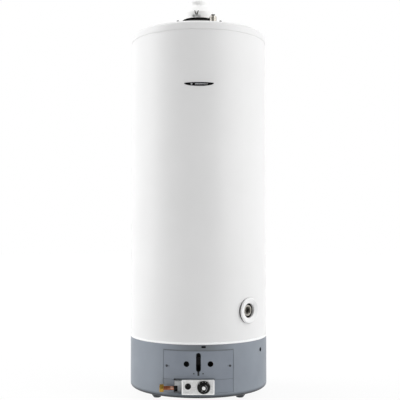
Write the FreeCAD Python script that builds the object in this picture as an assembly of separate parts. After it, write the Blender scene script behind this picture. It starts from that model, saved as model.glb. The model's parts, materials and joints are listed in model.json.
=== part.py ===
import FreeCAD, Part
import math
import os

# Floor-standing storage water heater, gas fired, in millimetres.
# The tank's axis is Z, the floor is Z = 0, the controls face -Y, and +X is the viewer's right.

V = FreeCAD.Vector
UP = V(0, 0, 1)
DOWN = V(0, 0, -1)
FRONT = V(0, -1, 0)
BACK = V(0, 1, 0)
RIGHT = V(1, 0, 0)
LEFT = V(-1, 0, 0)

# Screws
drive_slot_width = 1.0
drive_slot_depth = 0.8

# Clearances
seat_gap = 0.2          # between nested pieces that don't move
move_gap = 0.3          # between curved faces of pieces that move
run_gap = 0.05          # radial, shaft in bore

# Heights, from the floor up
foot_height = 30.0
skirt_height = 181.0
jacket_height = 1078.0
lid_hem = 18.0          # the lid's upright side
lid_rise = 46.0         # from its side up to its crown
hood_lift = 27.0        # air gap from the lid's crown up to the hood's rim
hood_lip = 24.0
hood_cone_height = 27.5
spigot_length = 16.5

# Outer casing
skirt_r = 250.0
skirt_wall = 1.2
skirt_bend_r = 12.0
skirt_foot_lip = 10.0   # inward lip that the base pan rests on
skirt_top_lip = 10.0    # inward lip that the jacket stands on
jacket_inset = 1.5      # of the jacket's face behind the skirt's
jacket_wall = 1.0
neck_height = 6.0       # joggled neck at the jacket's top, which the lid slips over
groove_height = 3.0     # shadow line between the jacket's shoulder and the lid's hem
seam_width = 14.0
seam_foot_gap = 1.0
seam_proud = 0.8
hem_ring_height = 7.0
hem_ring_wall = 1.8
hem_ring_fillet = 0.8
lid_proud = 0.5         # of the lid's rim beyond the jacket
lid_wall = 1.2
lid_shoulder_r = 11.3   # of the bend between its side and its crown
lid_screw_circle_r = 230.0
lid_screw_angle = 18.7
lid_screw_turn = 0.7    # of the four as a set, from the front towards +X
lid_screw_r = 1.9
lid_screw_head_r = 4.2
lid_screw_head = 4.0
lid_screw_depth = 8.0
lid_screw_slip = 1.0    # around its shank in the foam
lid_screw_washer = 0.5  # that its head stands on, above the dome

# Draught hood
hood_rim_r = 64.0
spigot_r = 40.0
hood_wall = 1.0
hood_leg_r = 55.0
hood_leg_width = 12.0
hood_leg_wall = 1.4
hood_leg_toe = 9.0
hood_leg_angles = (60, 180, 300)
baffle_r = 28.0
baffle_wall = 1.2
baffle_arm_width = 8.0
baffle_lift = 33.0      # from the lid's crown up to the baffle's underside
collar_r = 62.5
collar_wall = 1.2
collar_height = 21.0
sensor_x = -7.5
sensor_lift = 0.2       # of the sensor's plate above the hood's rim
sensor_plate_width = 30.0
sensor_plate_height = 9.0
sensor_plate_wall = 1.2
sensor_body_r = 7.0
sensor_body_length = 8.0
terminal_width = 4.0
terminal_wall = 0.8
terminal_length = 15.0
terminal_lean = 17.0
terminal_foot_x = 2.2   # of each blade's foot beside the sensor's middle
terminal_foot_drop = 1.0
sensor_body_drop = 2.0  # of the sensor's axis below its plate's top edge

# Tank
tank_inset = 50.0       # of the tank's wall behind the skirt's face
tank_wall = 2.5
tank_top_z = 1225.0
head_rise_share = 0.3   # of the tank's radius
head_crown_radius = 500.0
head_crown_share = 0.8  # of the tank's radius that the crown arc covers
head_flange = 25.0
bottom_head_z = 245.0
flue_r = 38.0
flue_wall = 3.0
flue_stand = 7.0        # of the flue tube above the lid's crown
flue_tail = 12.0        # of the flue tube below the bottom head's crown
baffle_strip_width = 56.0
baffle_strip_wall = 2.0
baffle_strip_swing = 12.0
baffle_strip_pitch = 60.0
baffle_strip_folds = 15
baffle_strip_bar = 8.0
baffle_strip_end_gap = 0.5
foam_gap = 1.2          # inside the jacket
foam_lift = 2.0         # of the foam's underside above the skirt

# Water connections
fitting_circle_r = 100.0
hot_angle = 32.0
nipple_thread_r = 13.2
nipple_body_r = 12.4
nipple_bore_r = 9.5
nipple_thread_length = 24.0
nipple_stand = 24.0     # of the nipple's end above the lid's crown
socket_r = 20.0
socket_length = 38.0
socket_sink = 12.0      # of the socket below the top head's crown surface there
nipple_foot_gap = 2.0   # from the nipple's foot up to the socket's
lid_hole_gap = 2.5
grommet_r = 19.5
grommet_height = 4.0
plug_flange_r = 11.5
plug_flange = 1.4
plug_grip_r = 7.6
plug_grip = 6.0
plug_stem_r = 7.0
plug_stem = 12.0
dip_r = 9.2
dip_wall = 1.8
dip_foot_z = 400.0
dip_end_gap = 1.0       # from the dip tube's end up to the nipple's
anode_rod_r = 10.5
anode_length = 650.0
anode_head_across = 32.0
anode_head = 10.0
side_angle = 44.7
side_z = 318.0
side_boss_r = 19.5
side_thread_r = 12.1
side_thread_length = 18.0
side_way_r = 9.5
side_recess = 4.0       # of the boss's mouth behind the jacket's surface
side_pocket_floor = 8.0 # of foam left on the tank around the boss
rosette_r = 45.0
rosette_bore_r = 25.5
rosette_wall = 1.6
rosette_proud = 7.5     # of its crest in front of the jacket
rosette_rim_proud = 3.2
rosette_crest_share = 0.8       # of the way from the bore to the rim
rosette_crest_out = 2.0
rosette_crest_in = 4.0
rosette_crest_out_fall = 1.2
rosette_crest_in_fall = 0.8
rosette_dish = 5.6
rosette_neck = 1.2
rosette_neck_depth = 6.0
well_x = 48.0
well_z = 350.0
well_r = 7.0
well_depth = 110.0
well_head_across = 17.0
well_head = 8.0
well_bore_depth = 98.0
capillary_r = 1.2
capillary_inset = 25.0  # of its rise behind the skirt's face
capillary_bend = 12.0
capillary_slot = 20.0   # width of the way left for it through the foam
capillary_reach = 40.0  # into the well

# Base
pan_inset = 14.0        # of the pan's rim behind the skirt's face
pan_wall = 2.0
pan_rim = 14.0
pan_air_r = 55.0
foot_inset = 29.0       # of a foot's middle behind the tank's wall
foot_angles = (60, 180, 300)
foot_top_r = 22.0
foot_pad_r = 13.0
foot_pad_height = 2.0
foot_pad_chamfer = 1.0
foot_cone_height = 10.0
foot_screw_r = 3.0
foot_screw_depth = 16.0
foot_screw_head_r = 6.0
foot_screw_head = 4.0
side_hole_x_angle = 61.3
side_hole_z = 175.0
side_hole_r = 7.5
top_slot_x = 17.4
top_slot_z = 203.5
top_slot_length = 16.0
top_slot_height = 7.0

# Front panels
opening_half = 120.0
opening_z = 47.0
opening_top_z = 193.5
panel_split_z = 93.0
panel_gap = 1.4
panel_top_gap = 4.5
panel_wall = 0.8
frame_wall = 1.4
frame_lap = 10.0
frame_side_lap = 20.0
frame_weld = 0.05
sight_hole_x = 40.5
sight_hole_z = 146.0
sight_hole_r = 9.6
slot_width = 16.0
slot_z = 120.4
slot_top_z = 184.0
slot_tail_width = 6.6
slot_tail_z = 107.5
panel_screw_x = 108.0
panel_screw_z = 137.0
panel_screw_r = 1.9
panel_screw_head_r = 4.0
panel_screw_head = 2.2
panel_screw_point = 0.5
panel_screw_slip = 1.4
panel_screw_slot = 9.0  # from each screw inwards
panel_screw_slot_height = 3.0
guide_half = 22.0
guide_z = 108.5
guide_height = 12.5
guide_wall = 1.0
guide_rivet_x = 15.5
guide_rivet_z = 114.6
guide_rivet_r = 1.3
guide_rivet_head_r = 2.4
guide_rivet_head = 0.8

# Combustion chamber
door_half = 85.0
door_z = 52.0
door_height = 146.0
door_wall = 1.2
chamber_half = 75.0
chamber_z = 54.0
chamber_top_z = 190.0
window_z = 150.0
window_r = 11.0
glass_r = 14.0
glass_wall = 3.0
shield_r = 110.0
shield_wall = 1.2
shield_lift = 15.0
shield_leg_r = 100.0
shield_leg_width = 14.0
shield_leg_wall = 2.0
shield_leg_angles = (0, 120, 240)
post_x = 60.0
post_width = 16.0
burner_r = 75.0
burner_z = 108.0
burner_height = 16.0
burner_wall = 1.5
burner_ports = 32
burner_port_width = 3.0
burner_port_height = 6.0
burner_port_lift = 5.0
burner_edge = 3.0
mixer_r = 19.0
mixer_wall = 1.5
mixer_z = 84.0
mixer_mouth_y = -125.0
mixer_bend = 23.0
injector_across = 17.0
injector_hex = 12.0
injector_nose_r = 5.0
injector_nose = 10.0
injector_gap = 2.0
injector_bore_r = 1.3
main_tube_r = 5.0
main_tube_wall = 1.0
pilot_angle = -35.0
pilot_pitch = 12.0
pilot_stand_off = 8.0   # of the pilot row in front of the burner's wall
pilot_flange_z = 111.0
pilot_flange_wall = 1.5
pilot_flange_half = 20.0
pilot_tab = 15.0
pilot_tab_half = 8.0
pilot_flange_reach = 14.0
pilot_bracket_gap = 1.0 # from the burner's wall
pilot_tail = 8.0        # of the pilot row below its flange
pilot_head_r = 4.5
pilot_head_height = 20.0
pilot_tube_r = 2.0
pilot_orifice_r = 1.2
thermocouple_r = 2.6
thermocouple_height = 26.0
thermocouple_lead_r = 1.5
electrode_r = 3.5
electrode_height = 16.0
electrode_wire_r = 0.8
electrode_wire = 10.0
ignition_lead_r = 1.2
lead_z = 58.0
port_middle_x = -22.0   # of the pilot tube's port in the valve's back
port_pitch = 12.0
lead_straight = 30.0
lead_bend = 12.0

# Gas valve and its controls
valve_depth_inside = 42.0       # of the valve behind the skirt's face
valve_waist_proud = 1.2         # of its flange's back in front of the skirt's face
valve_face_proud = 8.5
valve_face_half = 54.5
valve_face_z = 47.2
valve_face_top_z = 95.0
valve_body_half = 52.0
valve_body_z = 50.0
valve_body_top_z = 92.0
valve_edge_fillet = 2.0
valve_way_gap = 2.0     # around the valve in the lower panel
inlet_x = -70.0         # of the gland's seat in the casting
inlet_z = 66.0
inlet_cheek = 11.0      # of the casting beyond that seat, above and below the gland
inlet_pocket_half = 10.0        # of the open pocket between the cheeks
inlet_foot_z = 51.6
inlet_top_z = 91.6
inlet_inset = 5.0       # of the gas pipe's axis behind the skirt's face
inlet_front_wall = 4.5
inlet_depth_inside = 28.0
inlet_socket = 8.0
plate_x = -1.1
plate_half = 55.0
plate_z = 46.2
plate_top_z = 96.0
plate_proud = 13.5      # of the cover plate's face in front of the skirt's
plate_wall = 1.2
plate_corner_r = 2.0
knob_x = 17.8
knob_z = 72.2
knob_flange_r = 21.7
knob_flange = 2.5
knob_grip_r = 12.8
knob_grip_draft = 1.0
knob_depth = 15.0
knob_stand = 4.5        # of the knob's back in front of the plate
knob_blind = 3.0
knob_edge_fillet = 1.2
knob_scallops = 12
knob_scallop_r = 2.2
knob_scallop_out = 1.6  # of a scallop's centre beyond the grip
knob_cap_r = 6.0
knob_cap = 2.0
knob_cap_proud = 0.8
spindle_r = 4.0
spindle_flat = 3.0
spindle_root = 32.0     # of the spindle inside the valve
spindle_end_gap = 0.5   # left in front of the spindle with the knob pressed
push_travel = 4.0
igniter_x = -35.1
igniter_z = 74.5
igniter_flange_r = 10.3
igniter_flange = 2.0
igniter_barrel_r = 9.3
igniter_tail = 2.0
spindle_hole_gap = 1.0  # in the front plate, around the spindle
igniter_bore_r = 7.6
igniter_bore_depth = 20.0
button_r = 7.3
button_stand = 3.5      # of the button in front of its bezel
button_root = 13.0
button_fillet = 1.5
bracket_half = 45.0
bracket_wall = 2.0
bracket_shelf = 28.0
bracket_toe = 15.0

# Gas pipe
gas_pipe_r = 6.75
gas_pipe_wall = 1.0
gland_across = 16.0
gland_length = 12.5
nut_across = 24.0
nut_length = 14.0
nut_end_x = -131.0
nut_thread_r = 9.3
nut_thread_length = 8.5
nut_throat = 3.0
nut_chamfer = 1.2
pipe_collar_r = 8.6
pipe_collar = 2.0

# Badge
badge_half = 51.0
badge_rise = 2.6        # of its top edge above its tips
badge_drop = 10.4       # of its bottom edge below its tips
badge_wall = 0.9
badge_x = 2.0
badge_z = 1100.8        # of its tips

# Radii and depths that follow from the skirt's
jacket_r = skirt_r - jacket_inset
lid_r = jacket_r + lid_proud
lid_shoulder_x = lid_r - lid_shoulder_r
lid_crown_radius = (
    (lid_shoulder_x**2 + lid_rise**2 - lid_shoulder_r**2) / 2 / (lid_rise - lid_shoulder_r)
)
tank_r = skirt_r - tank_inset
head_rise = tank_r * head_rise_share
head_crown_reach = tank_r * head_crown_share
foam_r = jacket_r - jacket_wall - foam_gap
pan_r = skirt_r - pan_inset
foot_circle_r = tank_r - foot_inset
capillary_y = capillary_inset - skirt_r
valve_rear_y = valve_depth_inside - skirt_r
valve_waist_y = -skirt_r - valve_waist_proud
valve_face_y = -skirt_r - valve_face_proud
inlet_y = inlet_inset - skirt_r
inlet_rear_y = inlet_depth_inside - skirt_r
plate_y = -skirt_r - plate_proud

# Levels that follow from the sizes above
skirt_z = foot_height
jacket_z = skirt_z + skirt_height
lid_z = jacket_z + jacket_height
lid_edge_z = lid_z + lid_hem
lid_top_z = lid_edge_z + lid_rise
hood_z = lid_top_z + hood_lift
hood_cone_z = hood_z + hood_lip
spigot_z = hood_cone_z + hood_cone_height
pan_z = skirt_z + skirt_wall
pan_top_z = pan_z + pan_wall
panel_inner_r = skirt_r - panel_wall
frame_r = skirt_r - skirt_wall
nipple_top_z = lid_top_z + nipple_stand
shield_z = pan_top_z + shield_lift
pilot_foot_z = pilot_flange_z - pilot_tail
knob_bore_depth = knob_depth - knob_cap - knob_blind
spindle_reach = knob_stand + knob_bore_depth - push_travel - spindle_end_gap


def polygon(points):
    corners = [V(*p) for p in points]
    return Part.Face(Part.makePolygon(corners + corners[:1]))


def lathe(points):
    """Solid of revolution about Z from (radius, height) points."""
    return polygon([(r, 0, z) for r, z in points]).revolve(V(0, 0, 0), UP, 360)


def pipe(outer, inner, length, base, axis=UP):
    shape = Part.makeCylinder(outer, length, base, axis)
    if inner > 0:
        shape = shape.cut(Part.makeCylinder(inner, length, base, axis))
    return shape


def ring(outer, inner, low, high):
    return pipe(outer, inner, high - low, V(0, 0, low))


def block(low, high):
    return Part.makeBox(high[0] - low[0], high[1] - low[1], high[2] - low[2], V(*low))


def hexagon(across, length, base, axis):
    """Hexagonal bar; a bar along X has its top and bottom flats level."""
    corners = []
    radius = across / math.sqrt(3)
    for i in range(6):
        turn = math.radians(60 * i + 30)
        corners.append((radius * math.cos(turn), radius * math.sin(turn), 0))
    bar = polygon(corners).extrude(V(0, 0, length))
    bar.Placement = FreeCAD.Placement(base, FreeCAD.Rotation(UP, axis))
    return bar


def is_circle(edge):
    """Degenerate edges, as at a dome's pole, have no curve to ask."""
    return edge.Length > 1e-6 and not edge.Degenerated and isinstance(edge.Curve, Part.Circle)


def fuse(shapes):
    whole = shapes[0]
    for shape in shapes[1:]:
        whole = whole.fuse(shape)
    return whole.removeSplitter()


def cut(shape, tools):
    for tool in tools:
        shape = shape.cut(tool)
    return shape


def around(angle, radius, z=0):
    """Point at this many degrees from the front towards +X."""
    turn = math.radians(angle)
    return V(radius * math.sin(turn), -radius * math.cos(turn), z)


def facing(x, radius, z):
    """Point on a cylinder's front at this x, and the way out of the surface there."""
    turn = math.degrees(math.asin(x / radius))
    return around(turn, radius, z), around(turn, 1)


def sector(outer, inner, half, low, high):
    """Curved plate: the part of a ring in front of the axis between two upright planes."""
    window = block((-half, -outer - 1, low), (half, 0, high))
    return ring(outer, inner, low, high).common(window)


def capsule(half, height, x, z, y_low, y_high):
    """Level bar with round ends, as seen from the front, running through in Y."""
    r = height / 2
    middle = block((x - half + r, y_low, z - r), (x + half - r, y_high, z + r))
    depth = y_high - y_low
    ends = [
        Part.makeCylinder(r, depth, V(x + side * (half - r), y_low, z), BACK) for side in (-1, 1)
    ]
    return fuse([middle] + ends)


def leaning(centre, length, angle):
    """Point this far from the centre, leaning by the angle from upright towards +X."""
    return centre + V(math.sin(angle), 0, math.cos(angle)) * length


def revolved(edges):
    return Part.Face(Part.Wire(edges)).revolve(V(0, 0, 0), UP, 360)


def dome(radius, edge_z, rise, crown_radius, crown_reach, floor_z, inset=0.0):
    """Solid under a dome of two tangent arcs, drawn in by inset all over."""
    lean = math.asin(crown_reach / crown_radius)
    run = radius - crown_reach
    fall = rise - crown_radius * (1 - math.cos(lean))
    rim_lean = 2 * math.atan2(fall, run) - lean
    shoulder = run / (math.sin(rim_lean) - math.sin(lean))
    crown_centre = V(0, 0, edge_z + rise - crown_radius)
    shoulder_centre = crown_centre + V(math.sin(lean), 0, math.cos(lean)) * (crown_radius - shoulder)
    side = radius - inset
    end_lean = math.asin((side - shoulder_centre.x) / (shoulder - inset))

    top = leaning(crown_centre, crown_radius - inset, 0)
    middle = leaning(crown_centre, crown_radius - inset, lean / 2)
    join = leaning(crown_centre, crown_radius - inset, lean)
    bend = leaning(shoulder_centre, shoulder - inset, (lean + end_lean) / 2)
    rim = leaning(shoulder_centre, shoulder - inset, end_lean)
    return revolved([
        Part.Arc(top, middle, join).toShape(),
        Part.Arc(join, bend, rim).toShape(),
        Part.makeLine(rim, V(side, 0, floor_z)),
        Part.makeLine(V(side, 0, floor_z), V(0, 0, floor_z)),
        Part.makeLine(V(0, 0, floor_z), top),
    ])


def crown_fall(radius, crown_radius):
    """Drop of a dome's crown arc at this radius."""
    return crown_radius - math.sqrt(crown_radius**2 - radius**2)


def rounded_path(points, bend_r):
    """Straight runs joined by tangent arcs of one radius."""
    edges = []
    start = points[0]
    for before, corner, after in zip(points, points[1:], points[2:]):
        way_in = (corner - before).normalize()
        way_out = (after - corner).normalize()
        turn = way_in.getAngle(way_out)
        trim = bend_r * math.tan(turn / 2)
        arc_start = corner - way_in * trim
        arc_end = corner + way_out * trim
        inward = (way_out - way_in).normalize()
        centre = corner + inward * (bend_r / math.cos(turn / 2))
        middle = centre - inward * bend_r
        edges.append(Part.LineSegment(start, arc_start).toShape())
        edges.append(Part.Arc(arc_start, middle, arc_end).toShape())
        start = arc_end
    edges.append(Part.LineSegment(start, points[-1]).toShape())
    return Part.Wire(edges)


def tube_along(points, bend_r, outer, inner=0.0):
    """Round tube or rod that follows the path; its volume is checked against section times length."""
    path = rounded_path(points, bend_r)
    way = (points[1] - points[0]).normalize()

    def sweep(radius):
        circle = Part.Wire(Part.makeCircle(radius, points[0], way))
        return path.makePipeShell([circle], True, False)

    shape = sweep(outer)
    area = math.pi * outer**2
    if inner > 0:
        shape = shape.cut(sweep(inner))
        area -= math.pi * inner**2
    share = shape.Volume / (area * path.Length)
    print(f"tube: length {path.Length:.1f}, volume / (section x length) {share:.4f}")
    return shape


def skirt_profile():
    """The skirt's rolled section: wall, rounded foot, and a lip at the foot and at the top."""
    wall = skirt_wall
    bend = skirt_bend_r
    low = skirt_z
    centre = V(skirt_r - bend, 0, low + bend)
    slant = math.sqrt(0.5)

    def bend_arc(radius):
        return Part.Arc(
            centre + V(radius, 0, 0),
            centre + V(radius * slant, 0, -radius * slant),
            centre + V(0, 0, -radius),
        ).toShape()

    foot_x = skirt_r - bend - skirt_foot_lip
    lip_x = skirt_r - skirt_top_lip
    inner = [
        V(skirt_r - bend, 0, low),
        V(foot_x, 0, low),
        V(foot_x, 0, low + wall),
        V(skirt_r - bend, 0, low + wall),
    ]
    outer = [
        V(skirt_r - wall, 0, low + bend),
        V(skirt_r - wall, 0, jacket_z - wall),
        V(lip_x, 0, jacket_z - wall),
        V(lip_x, 0, jacket_z),
        V(skirt_r, 0, jacket_z),
        V(skirt_r, 0, low + bend),
    ]
    edges = [bend_arc(skirt_r - centre.x)]
    edges += [Part.makeLine(a, b) for a, b in zip(inner, inner[1:])]
    edges.append(bend_arc(skirt_r - wall - centre.x))
    edges += [Part.makeLine(a, b) for a, b in zip(outer, outer[1:])]
    return Part.Face(Part.Wire(Part.__sortEdges__(edges)))


def valve_way(margin, floor_z):
    """Space that the gas valve and its inlet take up where they pass through the skirt."""
    return block(
        (inlet_x - inlet_cheek - margin, -skirt_r - 1, floor_z),
        (valve_body_half + margin, valve_rear_y, valve_body_top_z + margin),
    )


def panel_slot(inner_r):
    """Sight slot with its narrow tail, running through in Y."""
    r = slot_width / 2
    depth = skirt_r - inner_r + 30
    y = -skirt_r - 5
    body = block((-r, y, slot_z + r), (r, y + depth, slot_top_z - r))
    ends = [Part.makeCylinder(r, depth, V(0, y, z), BACK) for z in (slot_z + r, slot_top_z - r)]
    t = slot_tail_width / 2
    tail = block((-t, y, slot_tail_z), (t, y + depth, slot_z + r))
    return fuse([body] + ends + [tail])


def screw(point, out, shank_r, head_r, head, depth):
    """Cheese-head screw whose head stands on the point, with its shank going inwards."""
    whole = fuse([
        Part.makeCylinder(head_r, head, point, out),
        Part.makeCylinder(shank_r, depth, point - out * depth, out),
    ])
    half = drive_slot_width / 2
    slot = block((-head_r, -half, head - drive_slot_depth), (head_r, half, head + 1))
    slot.Placement = FreeCAD.Placement(point, FreeCAD.Rotation(UP, out))
    return whole.cut(slot)


def skirt():
    shell = skirt_profile().revolve(V(0, 0, 0), UP, 360)
    lap_r = frame_r + frame_weld
    frame = sector(
        lap_r,
        frame_r - frame_wall,
        opening_half + frame_lap,
        opening_z - frame_lap / 2,
        opening_top_z + frame_lap / 2,
    )
    opening = block((-opening_half, -skirt_r - 1, opening_z), (opening_half, 0, opening_top_z))
    shell = fuse([shell.cut(opening), frame])
    inner_half = opening_half - frame_side_lap
    rail = frame_lap / 2
    window = block(
        (-inner_half, -skirt_r - 1, panel_split_z + rail),
        (inner_half, 0, opening_top_z - frame_lap),
    )
    lower_window = block(
        (-inner_half, -skirt_r - 1, opening_z + rail),
        (inner_half, 0, panel_split_z - rail),
    )
    side_hole = Part.makeCylinder(
        side_hole_r, 20, around(side_hole_x_angle, skirt_r - 10, side_hole_z), around(side_hole_x_angle, 1)
    )
    top_slot = capsule(
        top_slot_length / 2, top_slot_height, top_slot_x, top_slot_z, -skirt_r - 5, 15 - skirt_r
    )
    holes = []
    for side in (-1, 1):
        point, out = facing(side * panel_screw_x, skirt_r, panel_screw_z)
        holes.append(Part.makeCylinder(panel_screw_r + panel_screw_slip, 10, point - out * 5, out))
    way = valve_way(valve_way_gap, opening_z)
    return cut(shell, [window, lower_window, side_hole, top_slot, way] + holes)


def access_panel():
    plate = sector(
        skirt_r,
        panel_inner_r,
        opening_half - panel_gap,
        panel_split_z + panel_gap / 2,
        opening_top_z - panel_top_gap,
    )
    notch = block(
        (inlet_x - inlet_cheek - valve_way_gap, -skirt_r - 1, skirt_z),
        (plate_x + plate_half + valve_way_gap, 0, plate_top_z + valve_way_gap),
    )
    tools = [panel_slot(panel_inner_r), notch]
    half = panel_screw_slot_height / 2
    for side in (-1, 1):
        tools.append(
            Part.makeCylinder(sight_hole_r, 40, V(side * sight_hole_x, -skirt_r - 5, sight_hole_z), BACK)
        )
        point, out = facing(side * panel_screw_x, skirt_r, panel_screw_z)
        tools.append(Part.makeCylinder(panel_screw_r + seat_gap, 10, point - out * 5, out))
        ends = sorted((side * panel_screw_x, side * (panel_screw_x - panel_screw_slot)))
        tools.append(block(
            (ends[0], -skirt_r, panel_screw_z - half), (ends[1], 0, panel_screw_z + half)
        ))
        point, out = facing(side * guide_rivet_x, skirt_r, guide_rivet_z)
        tools.append(Part.makeCylinder(guide_rivet_r, 10, point - out * 5, out))
    return cut(plate, tools)


def access_panel_screws():
    depth = skirt_r - (frame_r - frame_wall) + panel_screw_point
    screws = []
    for side in (-1, 1):
        point, out = facing(side * panel_screw_x, skirt_r, panel_screw_z)
        screws.append(screw(point, out, panel_screw_r, panel_screw_head_r, panel_screw_head, depth))
    return screws


def slot_guide():
    """Plate behind the panel at the slot's foot."""
    outer = panel_inner_r
    plate = sector(outer, outer - guide_wall, guide_half, guide_z, guide_z + guide_height)
    holes = []
    for side in (-1, 1):
        point, out = facing(side * guide_rivet_x, skirt_r, guide_rivet_z)
        holes.append(Part.makeCylinder(guide_rivet_r, 10, point - out * 8, out))
    return cut(plate, holes)


def slot_guide_rivets():
    rivets = []
    for side in (-1, 1):
        point, out = facing(side * guide_rivet_x, skirt_r, guide_rivet_z)
        depth = panel_wall + guide_wall
        rivets.append(fuse([
            Part.makeCylinder(guide_rivet_head_r, guide_rivet_head, point, out),
            Part.makeCylinder(guide_rivet_r, depth, point - out * depth, out),
        ]))
    return rivets


def lower_front_panel():
    plate = sector(
        skirt_r,
        panel_inner_r,
        opening_half - panel_gap,
        opening_z + panel_gap,
        panel_split_z - panel_gap / 2,
    )
    return plate.cut(valve_way(valve_way_gap, skirt_z))


def casing_jacket():
    neck_r = lid_r - lid_wall - seat_gap
    shoulder_z = lid_z - groove_height
    top_z = shoulder_z + neck_height
    step = jacket_r - neck_r
    inner = jacket_r - jacket_wall
    shell = lathe([
        (jacket_r, jacket_z),
        (jacket_r, shoulder_z - step),
        (neck_r, shoulder_z),
        (neck_r, top_z),
        (neck_r - jacket_wall, top_z),
        (neck_r - jacket_wall, shoulder_z - jacket_wall),
        (inner, shoulder_z - jacket_wall - step),
        (inner, jacket_z),
    ])
    seam = ring(jacket_r + seam_proud, inner, jacket_z + hem_ring_height + seam_foot_gap, shoulder_z - step)
    seam = seam.common(block((-seam_width / 2, 0, jacket_z), (seam_width / 2, jacket_r + 5, lid_z)))
    out = side_axis()
    hole = Part.makeCylinder(
        rosette_bore_r + rosette_neck + seat_gap, skirt_r, around(side_angle, tank_r, side_z), out
    )
    return fuse([shell, seam]).cut(hole)


def casing_hem_ring():
    inner = jacket_r + seat_gap / 2
    body = ring(inner + hem_ring_wall, inner, jacket_z, jacket_z + hem_ring_height)
    outer_edges = [
        e for e in body.Edges
        if is_circle(e) and e.Curve.Radius > inner + hem_ring_wall / 2
    ]
    return body.makeFillet(hem_ring_fillet, outer_edges)


def lid_solid(inset, floor_z):
    """Solid under the lid's crown, tangent shoulder and upright side, drawn in by inset all over."""
    crown_centre = V(0, 0, lid_top_z - lid_crown_radius)
    shoulder_centre = V(lid_shoulder_x, 0, lid_edge_z)
    lean = math.asin(lid_shoulder_x / (lid_crown_radius - lid_shoulder_r))
    crown = lid_crown_radius - inset
    shoulder = lid_shoulder_r - inset
    top = leaning(crown_centre, crown, 0)
    join = leaning(crown_centre, crown, lean)
    rim = leaning(shoulder_centre, shoulder, math.pi / 2)
    foot = V(rim.x, 0, floor_z)
    return revolved([
        Part.Arc(top, leaning(crown_centre, crown, lean / 2), join).toShape(),
        Part.Arc(join, leaning(shoulder_centre, shoulder, (lean + math.pi / 2) / 2), rim).toShape(),
        Part.makeLine(rim, foot),
        Part.makeLine(foot, V(0, 0, floor_z)),
        Part.makeLine(V(0, 0, floor_z), top),
    ])


def fitting_points():
    """Hot outlet, cold inlet and anode, on their circle."""
    return [around(hot_angle + turn, fitting_circle_r) for turn in (0, 180, 90)]


def lid_screw_seats():
    """Point on the crown under each of the lid's screws, and the way out of the crown there."""
    crown_centre = V(0, 0, lid_top_z - lid_crown_radius)
    lean = math.asin(lid_screw_circle_r / lid_crown_radius)
    seats = []
    for angle in (lid_screw_angle, -lid_screw_angle, 180 - lid_screw_angle, 180 + lid_screw_angle):
        out = around(angle + lid_screw_turn, math.sin(lean), math.cos(lean))
        seats.append((crown_centre + out * lid_crown_radius, out))
    return seats


def lid_screw_holes(radius, depth):
    """Cylinders on the axes of the lid's screws, this far below and above the crown."""
    return [
        Part.makeCylinder(radius, 2 * depth, point - out * depth, out)
        for point, out in lid_screw_seats()
    ]


def top_cover():
    shell = lid_solid(0, lid_z).cut(lid_solid(lid_wall, lid_z - 1))
    tools = [Part.makeCylinder(flue_r + seat_gap, 2 * lid_rise, V(0, 0, lid_edge_z))]
    hole_r = nipple_body_r + lid_hole_gap
    for point in fitting_points()[:2]:
        tools.append(Part.makeCylinder(hole_r, 2 * lid_rise, V(point.x, point.y, lid_edge_z)))
    return cut(shell, tools + lid_screw_holes(lid_screw_r + seat_gap / 2, lid_screw_depth))


def top_cover_screws():
    return [
        screw(
            point + out * lid_screw_washer, out, lid_screw_r, lid_screw_head_r, lid_screw_head, lid_screw_depth
        )
        for point, out in lid_screw_seats()
    ]


def hood_inner_r(z):
    """Inner radius of the hood's cone at this height."""
    slope = (hood_rim_r - spigot_r) / hood_cone_height
    wall = hood_wall * math.hypot(1, slope)
    return hood_rim_r - wall - (z - hood_cone_z) * slope


def draught_hood():
    return lathe([
        (hood_rim_r, hood_z),
        (hood_rim_r, hood_cone_z),
        (spigot_r, spigot_z),
        (spigot_r, spigot_z + spigot_length),
        (spigot_r - hood_wall, spigot_z + spigot_length),
        (spigot_r - hood_wall, spigot_z),
        (hood_rim_r - hood_wall, hood_cone_z),
        (hood_rim_r - hood_wall, hood_z),
    ])


def hood_spider():
    """Three legs that carry the hood, welded to the baffle plate under the spigot."""
    slope = (hood_rim_r - spigot_r) / hood_cone_height
    outer = hood_leg_r + hood_leg_wall
    top_z = hood_cone_z + (hood_inner_r(hood_cone_z) - outer - 2 * seat_gap) / slope
    baffle_z = lid_top_z + baffle_lift
    pieces = [pipe(baffle_r, 0, baffle_wall, V(0, 0, baffle_z))]
    half = hood_leg_width / 2
    arm = baffle_arm_width / 2
    foot_z = collar_foot_z() + collar_wall + seat_gap
    for angle in hood_leg_angles:
        leg = block((-half, -outer, foot_z), (half, -hood_leg_r, top_z))
        toe = block((-half, -outer, foot_z), (half, hood_leg_toe - outer, foot_z + hood_leg_wall))
        bar = block((-arm, -hood_leg_r, baffle_z), (arm, 0, baffle_z + baffle_wall))
        for shape in (leg, toe, bar):
            shape.rotate(V(0, 0, 0), UP, angle)
            pieces.append(shape)
    return fuse(pieces)


def collar_foot_z():
    return lid_top_z - crown_fall(flue_r, lid_crown_radius) + seat_gap


def flue_collar():
    """Black dish around the flue tube; the hood's legs stand in it."""
    base_z = collar_foot_z()
    top_z = lid_top_z + collar_height
    inner = flue_r + seat_gap
    return lathe([
        (inner, base_z),
        (collar_r, base_z),
        (collar_r, top_z),
        (collar_r - collar_wall, top_z),
        (collar_r - collar_wall, base_z + collar_wall),
        (inner, base_z + collar_wall),
    ])


def sensor_frame():
    """Plane just in front of the hood's rim, and the height of the flue sensor's foot."""
    return -hood_rim_r - seat_gap, hood_z + sensor_lift


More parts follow.
